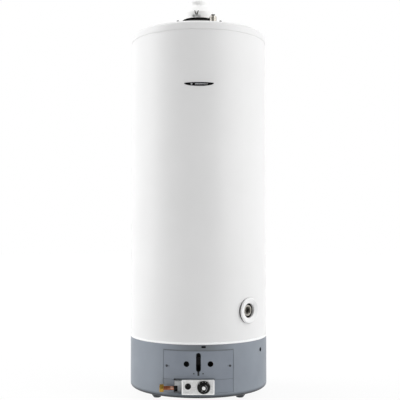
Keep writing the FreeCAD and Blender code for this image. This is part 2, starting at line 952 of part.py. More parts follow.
def flue_sensor():
    y, z = sensor_frame()
    half = sensor_plate_width / 2
    plate = block(
        (sensor_x - half, y - sensor_plate_wall, z),
        (sensor_x + half, y, z + sensor_plate_height),
    )
    body = Part.makeCylinder(
        sensor_body_r,
        sensor_body_length,
        V(sensor_x, y - sensor_plate_wall, z + sensor_plate_height - sensor_body_drop),
        FRONT,
    )
    return fuse([plate, body])


def sensor_terminals():
    y, z = sensor_frame()
    front = y - sensor_plate_wall - sensor_body_length
    blades = []
    for side in (-1, 1):
        foot = V(sensor_x + side * terminal_foot_x, front, z + sensor_plate_height - terminal_foot_drop)
        blade = block(
            (-terminal_width / 2, -terminal_wall, 0),
            (terminal_width / 2, 0, terminal_length),
        )
        blade.rotate(V(0, 0, 0), BACK, side * terminal_lean)
        blade.translate(foot)
        blades.append(blade)
    return blades


def nipple(point):
    thread_z = nipple_top_z - nipple_thread_length
    foot_z = socket_top_z() - socket_length + nipple_foot_gap
    body = lathe([
        (nipple_bore_r, foot_z),
        (nipple_body_r, foot_z),
        (nipple_body_r, thread_z),
        (nipple_thread_r, thread_z),
        (nipple_thread_r, nipple_top_z),
        (nipple_bore_r, nipple_top_z),
    ])
    body.translate(V(point.x, point.y, 0))
    return body


def nipple_grommets():
    """Rings on the lid around the two nipples, with their undersides shaped to the dome."""
    rings = []
    top_z = nipple_top_z - nipple_thread_length - seat_gap
    for point in fitting_points()[:2]:
        base = V(point.x, point.y, top_z - 3 * grommet_height)
        body = pipe(grommet_r, nipple_body_r + seat_gap, 3 * grommet_height, base)
        rings.append(body.cut(lid_solid(0, lid_z)))
    return rings


def nipple_plugs():
    plugs = []
    for point in fitting_points()[:2]:
        base = V(point.x, point.y, nipple_top_z)
        plugs.append(fuse([
            Part.makeCylinder(plug_flange_r, plug_flange, base),
            Part.makeCylinder(plug_grip_r, plug_grip, base),
            Part.makeCylinder(plug_stem_r, plug_stem, base - UP * plug_stem),
        ]))
    return plugs


def dip_tube():
    point = fitting_points()[1]
    return pipe(
        dip_r, dip_r - dip_wall, nipple_top_z - dip_end_gap - dip_foot_z, V(point.x, point.y, dip_foot_z)
    )


def socket_top_z():
    crown_z = tank_top_z + head_rise - crown_fall(fitting_circle_r, head_crown_radius)
    return crown_z - socket_sink + socket_length


def top_head_sockets():
    sockets = []
    for point in fitting_points():
        base = V(point.x, point.y, socket_top_z() - socket_length)
        sockets.append(pipe(socket_r, nipple_body_r + seat_gap, socket_length, base))
    return sockets


def magnesium_anode():
    point = fitting_points()[2]
    base = V(point.x, point.y, socket_top_z())
    head = hexagon(anode_head_across, anode_head, base, UP)
    stem = Part.makeCylinder(nipple_body_r, socket_length - nipple_foot_gap, base, DOWN)
    rod = Part.makeCylinder(anode_rod_r, anode_length, base, DOWN)
    return fuse([head, stem, rod])


def side_axis():
    """Way out of the side connection."""
    return around(side_angle, 1)


def tank_shell():
    shell = ring(tank_r, tank_r - tank_wall, pan_top_z, tank_top_z)
    chamber = block((-chamber_half, -tank_r - 5, chamber_z), (chamber_half, 0, chamber_top_z))
    side_hole = Part.makeCylinder(
        side_boss_r + seat_gap, tank_r, around(side_angle, tank_r / 2, side_z), side_axis()
    )
    well_hole = Part.makeCylinder(
        well_r + seat_gap, tank_r, around(well_angle(), tank_r / 2, well_z), well_axis()
    )
    return cut(shell, [chamber, side_hole, well_hole])


def head(edge_z):
    """Dished end with a flange that fits inside the shell."""
    radius = tank_r - tank_wall - seat_gap / 2
    floor_z = edge_z - head_flange
    shape = (radius, edge_z, head_rise, head_crown_radius, head_crown_reach)
    body = dome(*shape, floor_z).cut(dome(*shape, floor_z - 1, tank_wall))
    way = Part.makeCylinder(flue_r + seat_gap / 2, 2 * head_rise, V(0, 0, edge_z))
    return body.cut(way)


def tank_top_head():
    holes = [
        Part.makeCylinder(socket_r + seat_gap, 2 * head_rise, V(p.x, p.y, tank_top_z))
        for p in fitting_points()
    ]
    return cut(head(tank_top_z), holes)


def flue_tube():
    low = bottom_head_z + head_rise - flue_tail
    return ring(flue_r, flue_r - flue_wall, low, lid_top_z + flue_stand)


def flue_baffle():
    """Folded strip that hangs in the flue tube from a bar across its top."""
    top_z = lid_top_z + flue_stand
    front = []
    for i in range(baffle_strip_folds + 1):
        swing = 0 if i == 0 else baffle_strip_swing * (1 if i % 2 else -1)
        front.append((swing, top_z - i * baffle_strip_pitch))
    rear = [(y + baffle_strip_wall, z) for y, z in reversed(front)]
    half = baffle_strip_width / 2
    strip = polygon([(-half, y, z) for y, z in front + rear]).extrude(V(baffle_strip_width, 0, 0))
    bar = block(
        (-flue_r + baffle_strip_end_gap, 0, top_z),
        (flue_r - baffle_strip_end_gap, baffle_strip_wall, top_z + baffle_strip_bar),
    )
    return fuse([strip, bar])


def tank_insulation():
    foot_z = jacket_z + foam_lift
    outer = lid_solid(lid_r - foam_r, foot_z)
    tank = fuse([
        ring(tank_r + seat_gap, 0, foot_z - 1, tank_top_z + seat_gap),
        dome(
            tank_r - tank_wall,
            tank_top_z,
            head_rise,
            head_crown_radius,
            head_crown_reach,
            foot_z - 1,
            -seat_gap,
        ),
    ])
    through = 2 * (lid_top_z - tank_top_z)
    tools = [tank, Part.makeCylinder(flue_r + seat_gap, through, V(0, 0, tank_top_z))]
    for point in fitting_points():
        base = V(point.x, point.y, tank_top_z)
        tools.append(Part.makeCylinder(socket_r + seat_gap, through, base))
    tools.append(Part.makeCylinder(
        side_boss_r + seat_gap, tank_inset, around(side_angle, tank_r - tank_wall, side_z), side_axis()
    ))
    tools.append(Part.makeCylinder(
        rosette_bore_r + rosette_neck + 2 * seat_gap,
        tank_inset,
        around(side_angle, tank_r + side_pocket_floor, side_z),
        side_axis(),
    ))
    half = capillary_slot / 2
    slot = block(
        (-half, -foam_r - 1, foot_z - 1),
        (half, -tank_r / 2, well_z + capillary_slot),
    )
    slot.rotate(V(0, 0, 0), UP, well_angle())
    tools.append(slot)
    tools += lid_screw_holes(lid_screw_r + lid_screw_slip, 2 * lid_screw_depth)
    return cut(outer, tools)


def side_boss():
    out = side_axis()
    root_r = tank_r - tank_wall
    mouth_r = jacket_r - side_recess
    root = around(side_angle, root_r, side_z)
    body = Part.makeCylinder(side_boss_r, mouth_r - root_r, root, out)
    mouth = around(side_angle, mouth_r - side_thread_length, side_z)
    tools = [
        Part.makeCylinder(side_thread_r, side_thread_length, mouth, out),
        Part.makeCylinder(side_way_r, mouth_r - root_r, root, out),
    ]
    return cut(body, tools)


def side_rosette():
    """Dished pressing around the side connection, with a neck that goes in through the jacket."""
    crest_z = jacket_r + rosette_proud
    crest = rosette_bore_r + rosette_crest_share * (rosette_r - rosette_bore_r)
    neck_z = jacket_r - rosette_neck_depth
    face = [
        (rosette_bore_r, crest_z - rosette_dish),
        (crest - rosette_crest_in, crest_z - rosette_crest_in_fall),
        (crest, crest_z),
        (crest + rosette_crest_out, crest_z - rosette_crest_out_fall),
        (rosette_r, jacket_r + rosette_rim_proud),
    ]
    back = [(r, z - rosette_wall) for r, z in reversed(face[1:])]
    neck_r = rosette_bore_r + rosette_neck
    neck = [(neck_r, crest_z - rosette_dish - rosette_wall), (neck_r, neck_z), (rosette_bore_r, neck_z)]
    body = lathe(face + back + neck)
    body.Placement = FreeCAD.Placement(V(0, 0, side_z), FreeCAD.Rotation(UP, side_axis()))
    return body


def well_angle():
    return math.degrees(math.atan2(well_x, -capillary_y))


def well_axis():
    return around(well_angle(), 1)


def thermowell():
    out = well_axis()
    seat = around(well_angle(), tank_r + seat_gap, well_z)
    head_hex = hexagon(well_head_across, well_head, seat, out)
    pocket = Part.makeCylinder(well_r, well_depth, seat - out * well_depth, out)
    bore = Part.makeCylinder(
        capillary_r + seat_gap, well_bore_depth + well_head, seat - out * well_bore_depth, out
    )
    return fuse([head_hex, pocket]).cut(bore)


def thermostat_capillary():
    start = V(well_x, capillary_y, valve_body_top_z)
    corner = V(well_x, capillary_y, well_z)
    end = around(well_angle(), tank_r - capillary_reach, well_z)
    return tube_along([start, corner, end], capillary_bend, capillary_r)


def base_pan():
    body = lathe([
        (pan_air_r, pan_z),
        (pan_r, pan_z),
        (pan_r, pan_z + pan_rim),
        (pan_r - pan_wall, pan_z + pan_rim),
        (pan_r - pan_wall, pan_top_z),
        (pan_air_r, pan_top_z),
    ])
    holes = [
        Part.makeCylinder(foot_screw_r + seat_gap, 20, around(angle, foot_circle_r, pan_z - 5))
        for angle in foot_angles
    ]
    return cut(body, holes)


def feet():
    """Tapered feet, screwed to the pan's underside."""
    pads = []
    for angle in foot_angles:
        foot = lathe([
            (0, 0),
            (foot_pad_r, 0),
            (foot_pad_r + foot_pad_chamfer, foot_pad_chamfer),
            (foot_pad_r + 2 * foot_pad_chamfer, foot_pad_height),
            (foot_top_r, foot_pad_height + foot_cone_height),
            (foot_top_r, pan_z),
            (0, pan_z),
        ])
        foot.translate(around(angle, foot_circle_r))
        hole = Part.makeCylinder(
            foot_screw_r + seat_gap / 2, foot_screw_depth + 2, around(angle, foot_circle_r, pan_z), DOWN
        )
        pads.append(foot.cut(hole))
    return pads


def foot_screws():
    return [
        screw(
            around(angle, foot_circle_r, pan_top_z),
            UP,
            foot_screw_r,
            foot_screw_head_r,
            foot_screw_head,
            foot_screw_depth + pan_wall,
        )
        for angle in foot_angles
    ]


def radiation_shield():
    """Disc over the air opening, on legs, with the two posts that carry the burner."""
    pieces = [pipe(shield_r, 0, shield_wall, V(0, 0, shield_z))]
    half = shield_leg_width / 2
    thick = shield_leg_wall / 2
    for angle in shield_leg_angles:
        leg = block((-half, -shield_leg_r - thick, pan_top_z), (half, -shield_leg_r + thick, shield_z))
        leg.rotate(V(0, 0, 0), UP, angle)
        pieces.append(leg)
    for side in (-1, 1):
        x = side * post_x
        pieces.append(block((x - thick, -post_width / 2, shield_z), (x + thick, post_width / 2, burner_z)))
    return fuse(pieces)


def burner():
    top = burner_z + burner_height
    wall = burner_wall
    neck = mixer_r + seat_gap
    body = lathe([
        (neck, burner_z),
        (burner_r, burner_z),
        (burner_r, top - burner_edge),
        (burner_r - burner_edge, top),
        (0, top),
        (0, top - wall),
        (burner_r - burner_edge - wall / 2, top - wall),
        (burner_r - wall, top - burner_edge - wall / 2),
        (burner_r - wall, burner_z + wall),
        (neck, burner_z + wall),
    ])
    ports = []
    port_z = burner_z + burner_port_lift
    for i in range(burner_ports):
        port = block(
            (-burner_port_width / 2, -burner_r - 1, port_z),
            (burner_port_width / 2, -burner_r + 2 * wall, port_z + burner_port_height),
        )
        port.rotate(V(0, 0, 0), UP, 360 * i / burner_ports)
        ports.append(port)
    return body.cut(Part.makeCompound(ports))


def burner_mixing_tube():
    points = [V(0, mixer_mouth_y, mixer_z), V(0, 0, mixer_z), V(0, 0, burner_z + burner_wall)]
    return tube_along(points, mixer_bend, mixer_r, mixer_r - mixer_wall)


def injector():
    tip_y = mixer_mouth_y - injector_gap
    nose = Part.makeCylinder(injector_nose_r, injector_nose, V(0, tip_y, mixer_z), FRONT)
    body = hexagon(injector_across, injector_hex, V(0, tip_y - injector_nose, mixer_z), FRONT)
    length = injector_nose + injector_hex
    bore = Part.makeCylinder(injector_bore_r, length, V(0, tip_y, mixer_z), FRONT)
    return fuse([nose, body]).cut(bore)


def burner_gas_tube():
    end_y = mixer_mouth_y - injector_gap - injector_nose - injector_hex
    base = V(0, valve_rear_y, mixer_z)
    return pipe(main_tube_r, main_tube_r - main_tube_wall, end_y - valve_rear_y, base, BACK)


def pilot_place(column):
    """Point of the pilot row: the electrode is column -1, the pilot 0, the thermocouple +1."""
    point = V(column * pilot_pitch, -burner_r - pilot_stand_off, 0)
    return FreeCAD.Rotation(UP, pilot_angle).multVec(point)


def pilot_bracket():
    y = -burner_r - pilot_bracket_gap
    flange = block(
        (-pilot_flange_half, y - pilot_flange_reach, pilot_flange_z),
        (pilot_flange_half, y, pilot_flange_z + pilot_flange_wall),
    )
    plate = block(
        (-pilot_flange_half, y - pilot_flange_wall, burner_z - pilot_flange_wall),
        (pilot_flange_half, y, pilot_flange_z + pilot_flange_wall),
    )
    tab = block(
        (-pilot_tab_half, y, burner_z - pilot_flange_wall),
        (pilot_tab_half, y + pilot_tab, burner_z),
    )
    body = fuse([flange, plate, tab])
    body.rotate(V(0, 0, 0), UP, pilot_angle)
    holes = []
    for column, radius in ((-1, electrode_r), (0, pilot_head_r), (1, thermocouple_r)):
        holes.append(Part.makeCylinder(radius + seat_gap, 10, pilot_place(column) + UP * (pilot_flange_z - 5)))
    return cut(body, holes)


def pilot_burner():
    base = pilot_place(0) + UP * pilot_foot_z
    return pipe(pilot_head_r, pilot_orifice_r, pilot_head_height, base)


def lead_points(port_x, port_z, column):
    place = pilot_place(column)
    return [
        V(port_x, valve_rear_y, port_z),
        V(port_x, valve_rear_y + lead_straight, port_z),
        V(place.x, place.y, lead_z),
        V(place.x, place.y, pilot_foot_z),
    ]


def port_x(column):
    """Where a lead of the pilot row leaves the valve."""
    return port_middle_x + port_pitch * column


def pilot_gas_tube():
    return tube_along(lead_points(port_x(0), lead_z, 0), lead_bend, pilot_tube_r)


def thermocouple():
    base = pilot_place(1) + UP * pilot_foot_z
    probe = Part.makeCylinder(thermocouple_r, thermocouple_height, base)
    lead = tube_along(lead_points(port_x(1), lead_z, 1), lead_bend, thermocouple_lead_r)
    return fuse([probe, lead])


def spark_electrode():
    base = pilot_place(-1) + UP * pilot_foot_z
    rod = Part.makeCylinder(electrode_r, electrode_height, base)
    wire = Part.makeCylinder(electrode_wire_r, electrode_wire, base + UP * electrode_height)
    return fuse([rod, wire])


def ignition_lead():
    points = lead_points(igniter_x, igniter_z, -1)
    points[0] = V(igniter_x, valve_rear_y + igniter_tail, igniter_z)
    return tube_along(points, lead_bend, ignition_lead_r)


def inner_door():
    inner = tank_r + move_gap
    plate = sector(inner + door_wall, inner, door_half, door_z, door_z + door_height)
    y = -inner - tank_inset / 2
    ways = [
        (0, window_z, window_r),
        (0, mixer_z, main_tube_r + 2 * seat_gap),
        (port_x(0), lead_z, pilot_tube_r + 2 * seat_gap),
        (port_x(1), lead_z, thermocouple_lead_r + 2 * seat_gap),
        (igniter_x, igniter_z, ignition_lead_r + 2 * seat_gap),
    ]
    holes = [Part.makeCylinder(r, tank_inset, V(x, y, z), BACK) for x, z, r in ways]
    return cut(plate, holes)


def sight_glass():
    face_y = -(tank_r + move_gap + door_wall) - seat_gap
    return Part.makeCylinder(glass_r, glass_wall, V(0, face_y, window_z), FRONT)


def gas_valve_body():
    face = block(
        (plate_x - valve_face_half, valve_face_y, valve_face_z),
        (plate_x + valve_face_half, valve_waist_y, valve_face_top_z),
    )
    body = block(
        (-valve_body_half, valve_waist_y, valve_body_z),
        (valve_body_half, valve_rear_y, valve_body_top_z),
    )
    end_x = inlet_x - inlet_cheek
    front_y = inlet_y - gas_pipe_r - inlet_front_wall
    inlet = block(
        (end_x, front_y, inlet_foot_z),
        (-valve_body_half, inlet_rear_y, inlet_top_z),
    )
    corner = [
        e for e in inlet.Edges
        if abs(e.BoundBox.YMin - e.BoundBox.YMax) < 1e-6
        and abs(e.BoundBox.YMin - inlet.BoundBox.YMin) < 1e-6
    ]
    inlet = inlet.makeFillet(valve_edge_fillet, corner)
    pocket = block(
        (end_x - 1, front_y - 1, inlet_z - inlet_pocket_half),
        (inlet_x, inlet_y + inlet_pocket_half, inlet_z + inlet_pocket_half),
    )
    whole = fuse([face, body, inlet.cut(pocket)])
    depth = valve_rear_y - valve_face_y
    tools = [
        Part.makeCylinder(
            gas_pipe_r + seat_gap / 2, inlet_socket, V(inlet_x, inlet_y, inlet_z), RIGHT
        ),
        Part.makeCylinder(
            spindle_r + run_gap, spindle_root, V(knob_x, valve_face_y, knob_z), BACK
        ),
        Part.makeCylinder(
            igniter_barrel_r + seat_gap, depth + 2, V(igniter_x, valve_face_y - 1, igniter_z), BACK
        ),
    ]
    return cut(whole, tools)


def valve_front_plate():
    """Pressed cover over the valve's face, with its edges turned back."""
    outer = block(
        (plate_x - plate_half, plate_y, plate_z), (plate_x + plate_half, valve_face_y, plate_top_z)
    )
    corners = [e for e in outer.Edges if abs(e.BoundBox.YLength - (valve_face_y - plate_y)) < 1e-6]
    outer = outer.makeFillet(plate_corner_r, corners)
    inner = block(
        (plate_x - plate_half + plate_wall, plate_y + plate_wall, plate_z + plate_wall),
        (plate_x + plate_half - plate_wall, valve_face_y + 1, plate_top_z - plate_wall),
    )
    holes = [
        Part.makeCylinder(spindle_r + spindle_hole_gap, 20, V(knob_x, plate_y - 5, knob_z), BACK),
        Part.makeCylinder(igniter_barrel_r + seat_gap, 20, V(igniter_x, plate_y - 5, igniter_z), BACK),
    ]
    return cut(outer, [inner] + holes)


def valve_bracket():
    """Shelf under the valve, folded down to the base pan."""
    front_y = valve_rear_y - bracket_wall - bracket_shelf
    web_y = valve_rear_y - 2 * bracket_wall
    shelf = block(
        (-bracket_half, front_y, valve_body_z - bracket_wall),
        (bracket_half, web_y + bracket_wall, valve_body_z),
    )
    web = block((-bracket_half, web_y, pan_top_z), (bracket_half, web_y + bracket_wall, valve_body_z))
    toe = block((-bracket_half, web_y - bracket_toe, pan_top_z), (bracket_half, web_y, pan_top_z + bracket_wall))
    return fuse([shelf, web, toe])


def d_shaft(radius, flat, start_y, length):
    """Round shaft along Y with one flat, pointing at the front."""
    shaft = Part.makeCylinder(radius, length, V(knob_x, start_y, knob_z), FRONT)
    shave = block(
        (knob_x - radius - 1, start_y - length - 1, knob_z + flat),
        (knob_x + radius + 1, start_y + 1, knob_z + radius + 1),
    )
    return shaft.cut(shave)


def knob_spindle():
    root_y = valve_face_y + spindle_root
    flat_y = plate_y - (knob_stand - push_travel) / 2
    tip_y = plate_y - spindle_reach
    foot_y = root_y - spindle_end_gap
    root = Part.makeCylinder(spindle_r, foot_y - flat_y, V(knob_x, foot_y, knob_z), FRONT)
    return fuse([root, d_shaft(spindle_r, spindle_flat, flat_y, flat_y - tip_y)])


def control_knob():
    """Round dial flange with a raised grip, made about Z and turned to face the front."""
    tip = knob_depth
    body = lathe([
        (0, 0),
        (knob_flange_r, 0),
        (knob_flange_r, knob_flange - knob_edge_fillet),
        (knob_flange_r - knob_edge_fillet, knob_flange),
        (knob_grip_r + knob_grip_draft, knob_flange),
        (knob_grip_r, tip - knob_edge_fillet),
        (knob_grip_r - knob_edge_fillet, tip),
        (knob_cap_r + seat_gap, tip),
        (knob_cap_r + seat_gap, tip - knob_cap),
        (0, tip - knob_cap),
    ])
    scallops = []
    for i in range(knob_scallops):
        point = around(360 * (i + 0.5) / knob_scallops, knob_grip_r + knob_scallop_out, knob_flange)
        scallops.append(Part.makeCylinder(knob_scallop_r, tip, point))
    body = body.cut(Part.makeCompound(scallops))
    back_y = plate_y - knob_stand
    body.Placement = FreeCAD.Placement(V(knob_x, back_y, knob_z), FreeCAD.Rotation(UP, FRONT))
    bore = d_shaft(spindle_r + run_gap, spindle_flat + run_gap, back_y, knob_bore_depth)
    return body.cut(bore)


def knob_cap_disc():
    face_y = plate_y - knob_stand - knob_depth
    return Part.makeCylinder(
        knob_cap_r, knob_cap + knob_cap_proud, V(knob_x, face_y + knob_cap, knob_z), FRONT
    )


def igniter_body():
    flange = Part.makeCylinder(igniter_flange_r, igniter_flange, V(igniter_x, plate_y, igniter_z), FRONT)
    rear_y = valve_rear_y + igniter_tail
    barrel = Part.makeCylinder(igniter_barrel_r, rear_y - plate_y, V(igniter_x, plate_y, igniter_z), BACK)
    mouth_y = plate_y - igniter_flange
    bore = Part.makeCylinder(
        igniter_bore_r, igniter_bore_depth, V(igniter_x, mouth_y, igniter_z), BACK
    )
    return fuse([flange, barrel]).cut(bore)


def igniter_button():
    mouth_y = plate_y - igniter_flange
    body = Part.makeCylinder(
        button_r, button_stand + button_root, V(igniter_x, mouth_y - button_stand, igniter_z), BACK
    )
    front = [e for e in body.Edges if abs(e.BoundBox.YMax - (mouth_y - button_stand)) < 1e-6]
    return body.makeFillet(button_fillet, front)


def inlet_gland():
    base = V(inlet_x - gland_length, inlet_y, inlet_z)
    bar = hexagon(gland_across, gland_length, base, RIGHT)
    return bar.cut(Part.makeCylinder(gas_pipe_r + seat_gap / 2, gland_length, base, RIGHT))


def gas_inlet_pipe():
    collar_x = nut_end_x + nut_thread_length + seat_gap
    end_x = inlet_x + inlet_socket - seat_gap
    start = V(collar_x, inlet_y, inlet_z)
    body = Part.makeCylinder(gas_pipe_r, end_x - collar_x, start, RIGHT)
    collar = Part.makeCylinder(pipe_collar_r, pipe_collar, start, RIGHT)
    bore = Part.makeCylinder(gas_pipe_r - gas_pipe_wall, end_x - collar_x, start, RIGHT)
    return fuse([body, collar]).cut(bore)


def gas_union_nut():
    """Loose hexagon nut that the pipe's collar holds on."""
    start = V(nut_end_x, inlet_y, inlet_z)
    bar = hexagon(nut_across, nut_length, start, RIGHT)
    corner_r = nut_across / math.sqrt(3)
    cone_low = Part.makeCone(corner_r - nut_chamfer, corner_r, nut_chamfer, start, RIGHT)
    middle = Part.makeCylinder(corner_r, nut_length - 2 * nut_chamfer, start + RIGHT * nut_chamfer, RIGHT)
    cone_high = Part.makeCone(
        corner_r, corner_r - nut_chamfer, nut_chamfer, start + RIGHT * (nut_length - nut_chamfer), RIGHT
    )
    bar = bar.common(fuse([cone_low, middle, cone_high]))
    tools = [
        Part.makeCylinder(nut_thread_r, nut_thread_length, start, RIGHT),
        Part.makeCylinder(pipe_collar_r + move_gap, nut_length - nut_throat, start, RIGHT),
        Part.makeCylinder(gas_pipe_r + move_gap, nut_length, start, RIGHT),
    ]
    return cut(bar, tools)


def badge_plate():
    """Curved plate between two half ellipses, a flat one above and a deep one below its tips."""
    edges = []
    for reach, start in ((badge_rise, 0), (badge_drop, math.pi)):
        curve = Part.Ellipse(V(0, 0, 0), badge_half, reach)
        edges.append(Part.ArcOfEllipse(curve, start, start + math.pi).toShape())
    outline = Part.Face(Part.Wire(edges))
    outline.Placement = FreeCAD.Placement(V(badge_x, -2 * jacket_r, badge_z), FreeCAD.Rotation(RIGHT, 90))
    base_r = jacket_r + seat_gap / 2
    shell = ring(base_r + badge_wall, base_r, badge_z - 2 * badge_drop, badge_z + 2 * badge_rise)
    return shell.common(outline.extrude(BACK * (2 * jacket_r)))


def solids(made):
    """All the solids of a shape or of a list of shapes."""
    shapes = made if isinstance(made, list) else [made]
    return [solid for shape in shapes for solid in shape.Solids]


def save(name, made):
    found = solids(made)
    shape = found[0] if len(found) == 1 else Part.makeCompound(found)
    for solid in found:
        if not solid.isValid() or solid.Volume <= 0:
            print(f"{name}: a solid isn't valid")
    shape.exportStep(f"parts/{name}.step")


NODES = {
    "casing_jacket": casing_jacket,
    "casing_hem_ring": casing_hem_ring,
    "top_cover": top_cover,
    "top_cover_screws": top_cover_screws,
    "draught_hood": draught_hood,
    "hood_spider": hood_spider,
    "flue_collar": flue_collar,
    "flue_sensor": flue_sensor,
    "flue_sensor_terminals": sensor_terminals,
    "hot_outlet_nipple": lambda: nipple(fitting_points()[0]),
    "cold_inlet_nipple": lambda: nipple(fitting_points()[1]),
    "nipple_grommets": nipple_grommets,
    "nipple_plugs": nipple_plugs,
    "dip_tube": dip_tube,
    "magnesium_anode": magnesium_anode,
    "tank_shell": tank_shell,
    "tank_top_head": tank_top_head,
    "tank_bottom_head": lambda: head(bottom_head_z),
    "top_head_sockets": top_head_sockets,
    "flue_tube": flue_tube,
    "flue_baffle": flue_baffle,
    "tank_insulation": tank_insulation,
    "side_boss": side_boss,
    "side_rosette": side_rosette,
    "thermowell": thermowell,
    "thermostat_capillary": thermostat_capillary,
    "skirt": skirt,
    "access_panel": access_panel,
    "access_panel_screws": access_panel_screws,
    "slot_guide": slot_guide,
    "slot_guide_rivets": slot_guide_rivets,
    "lower_front_panel": lower_front_panel,
    "base_pan": base_pan,
    "feet": feet,
    "foot_screws": foot_screws,
    "radiation_shield": radiation_shield,
    "burner": burner,
    "burner_mixing_tube": burner_mixing_tube,
    "injector": injector,
    "burner_gas_tube": burner_gas_tube,
    "pilot_bracket": pilot_bracket,
    "pilot_burner": pilot_burner,
    "pilot_gas_tube": pilot_gas_tube,
    "thermocouple": thermocouple,
    "spark_electrode": spark_electrode,
    "ignition_lead": ignition_lead,
    "inner_door": inner_door,
    "sight_glass": sight_glass,
    "gas_valve_body": gas_valve_body,
    "valve_bracket": valve_bracket,
    "valve_front_plate": valve_front_plate,
    "knob_spindle": knob_spindle,
    "control_knob": control_knob,
    "knob_cap": knob_cap_disc,
    "igniter_body": igniter_body,
    "igniter_button": igniter_button,
    "inlet_gland": inlet_gland,
    "gas_inlet_pipe": gas_inlet_pipe,
    "gas_union_nut": gas_union_nut,
    "badge_plate": badge_plate,
}

os.makedirs("parts", exist_ok=True)
for node, make in NODES.items():
    save(node, make())
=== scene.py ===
import json
import math

import bmesh
import bpy
from mathutils import Matrix, Vector


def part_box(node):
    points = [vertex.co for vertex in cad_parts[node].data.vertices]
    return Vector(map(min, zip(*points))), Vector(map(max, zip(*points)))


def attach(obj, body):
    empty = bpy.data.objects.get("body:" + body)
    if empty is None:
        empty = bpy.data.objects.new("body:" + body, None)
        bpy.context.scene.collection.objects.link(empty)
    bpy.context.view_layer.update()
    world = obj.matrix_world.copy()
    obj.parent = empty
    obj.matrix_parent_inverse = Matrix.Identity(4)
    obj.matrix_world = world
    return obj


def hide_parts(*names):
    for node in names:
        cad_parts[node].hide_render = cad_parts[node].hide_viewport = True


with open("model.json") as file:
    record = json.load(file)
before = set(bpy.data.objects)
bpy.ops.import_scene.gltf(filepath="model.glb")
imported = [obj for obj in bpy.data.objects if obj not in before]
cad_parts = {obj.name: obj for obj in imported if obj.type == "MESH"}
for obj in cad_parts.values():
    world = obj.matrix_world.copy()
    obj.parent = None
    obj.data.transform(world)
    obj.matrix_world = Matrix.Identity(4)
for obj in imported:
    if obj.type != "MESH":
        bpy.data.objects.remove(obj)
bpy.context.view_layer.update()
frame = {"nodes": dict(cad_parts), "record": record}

NODES = frame["nodes"]

# Pieces are modelled in millimetres and brought to metres when they are finished.
METRE = 0.001
TURN = 2 * math.pi
FRONT = Vector((0, -1, 0))
RIGHT = Vector((1, 0, 0))
UP = Vector((0, 0, 1))


# ---------------------------------------------------------------- places

def span(node):
    """Lowest corner, highest corner and middle of a node, in millimetres."""
    low, high = (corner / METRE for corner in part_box(node))
    return low, high, (low + high) / 2


def facing(node):
    """Radius, depth and the middle of the back of a round piece that faces the front."""
    low, high, middle = span(node)
    return (high.x - low.x) / 2, high.y - low.y, Vector((middle.x, high.y, middle.z))


def mount(name):
    """Middle, in millimetres, and outward way of one of the record's mounts, with its sizes."""
    found = next(m for m in frame["record"]["mounts"] if m["name"] == name)
    return Vector(found["pos_m"]) / METRE, Vector(found["axis"]), found["dims"]


SKIRT_FOOT = span("skirt")[0].z
SKIRT_R = span("skirt")[1].x
JACKET_R = span("casing_jacket")[1].x


# ---------------------------------------------------------------- materials

def linear(code):
    """sRGB hex such as c3a66a to a linear colour."""
    channels = [int(code[i:i + 2], 16) / 255 for i in (0, 2, 4)]
    return [c / 12.92 if c <= 0.04045 else ((c + 0.055) / 1.055) ** 2.4 for c in channels] + [1.0]


def add(tree, kind, settings=None, links=None):
    """Adds a node; settings are its own values or its inputs', links are inputs fed by sockets."""
    node = tree.nodes.new(kind)
    for name, value in (settings or {}).items():
        if isinstance(name, int) or name in node.inputs:
            node.inputs[name].default_value = value
        else:
            setattr(node, name, value)
    for name, socket in (links or {}).items():
        tree.links.new(socket, node.inputs[name])
    return node


def blank(name, **constants):
    """A material with one Principled shader, whose constants are set on its own sockets."""
    material = bpy.data.materials.new(name)
    material.use_nodes = True
    tree = material.node_tree
    tree.nodes.clear()
    shader = add(tree, "ShaderNodeBsdfPrincipled", constants)
    add(tree, "ShaderNodeOutputMaterial", links={"Surface": shader.outputs["BSDF"]})
    return material, tree, shader


def object_space(tree, stretch=(1, 1, 1)):
    """Object coordinates, drawn out along an axis where its number is under one."""
    place = add(tree, "ShaderNodeTexCoord")
    return add(tree, "ShaderNodeMapping", {"Scale": stretch}, {"Vector": place.outputs["Object"]})


def noise(tree, space, grain_mm, detail=3.0, roughness=0.5):
    """Noise whose blotches are about this many millimetres across."""
    return add(
        tree, "ShaderNodeTexNoise",
        {"Scale": 1 / (grain_mm * METRE), "Detail": detail, "Roughness": roughness},
        {"Vector": space.outputs["Vector"]},
    )


def spread(tree, source, low, high, dark=0.3, light=0.7):
    """Brings a source that runs from dark to light to run from low to high, and holds it there."""
    return add(
        tree, "ShaderNodeMapRange",
        {"From Min": dark, "From Max": light, "To Min": low, "To Max": high}, {"Value": source},
    )


def two_tone(tree, factor, shade, light):
    """Colour between two tones."""
    return add(
        tree, "ShaderNodeMix", {"data_type": "RGBA", 6: linear(shade), 7: linear(light)},
        {0: factor},
    )


def relief(tree, height, depth_mm, strength=1.0):
    """Fine unevenness of this depth."""
    return add(
        tree, "ShaderNodeBump", {"Strength": strength, "Distance": depth_mm * METRE},
        {"Height": height},
    )


def dress(tree, shader, tone, rough, bump):
    """Feeds a shader its colour, its roughness and its relief."""
    tree.links.new(tone.outputs[2], shader.inputs["Base Color"])
    tree.links.new(rough.outputs[0], shader.inputs["Roughness"])
    tree.links.new(bump.outputs["Normal"], shader.inputs["Normal"])


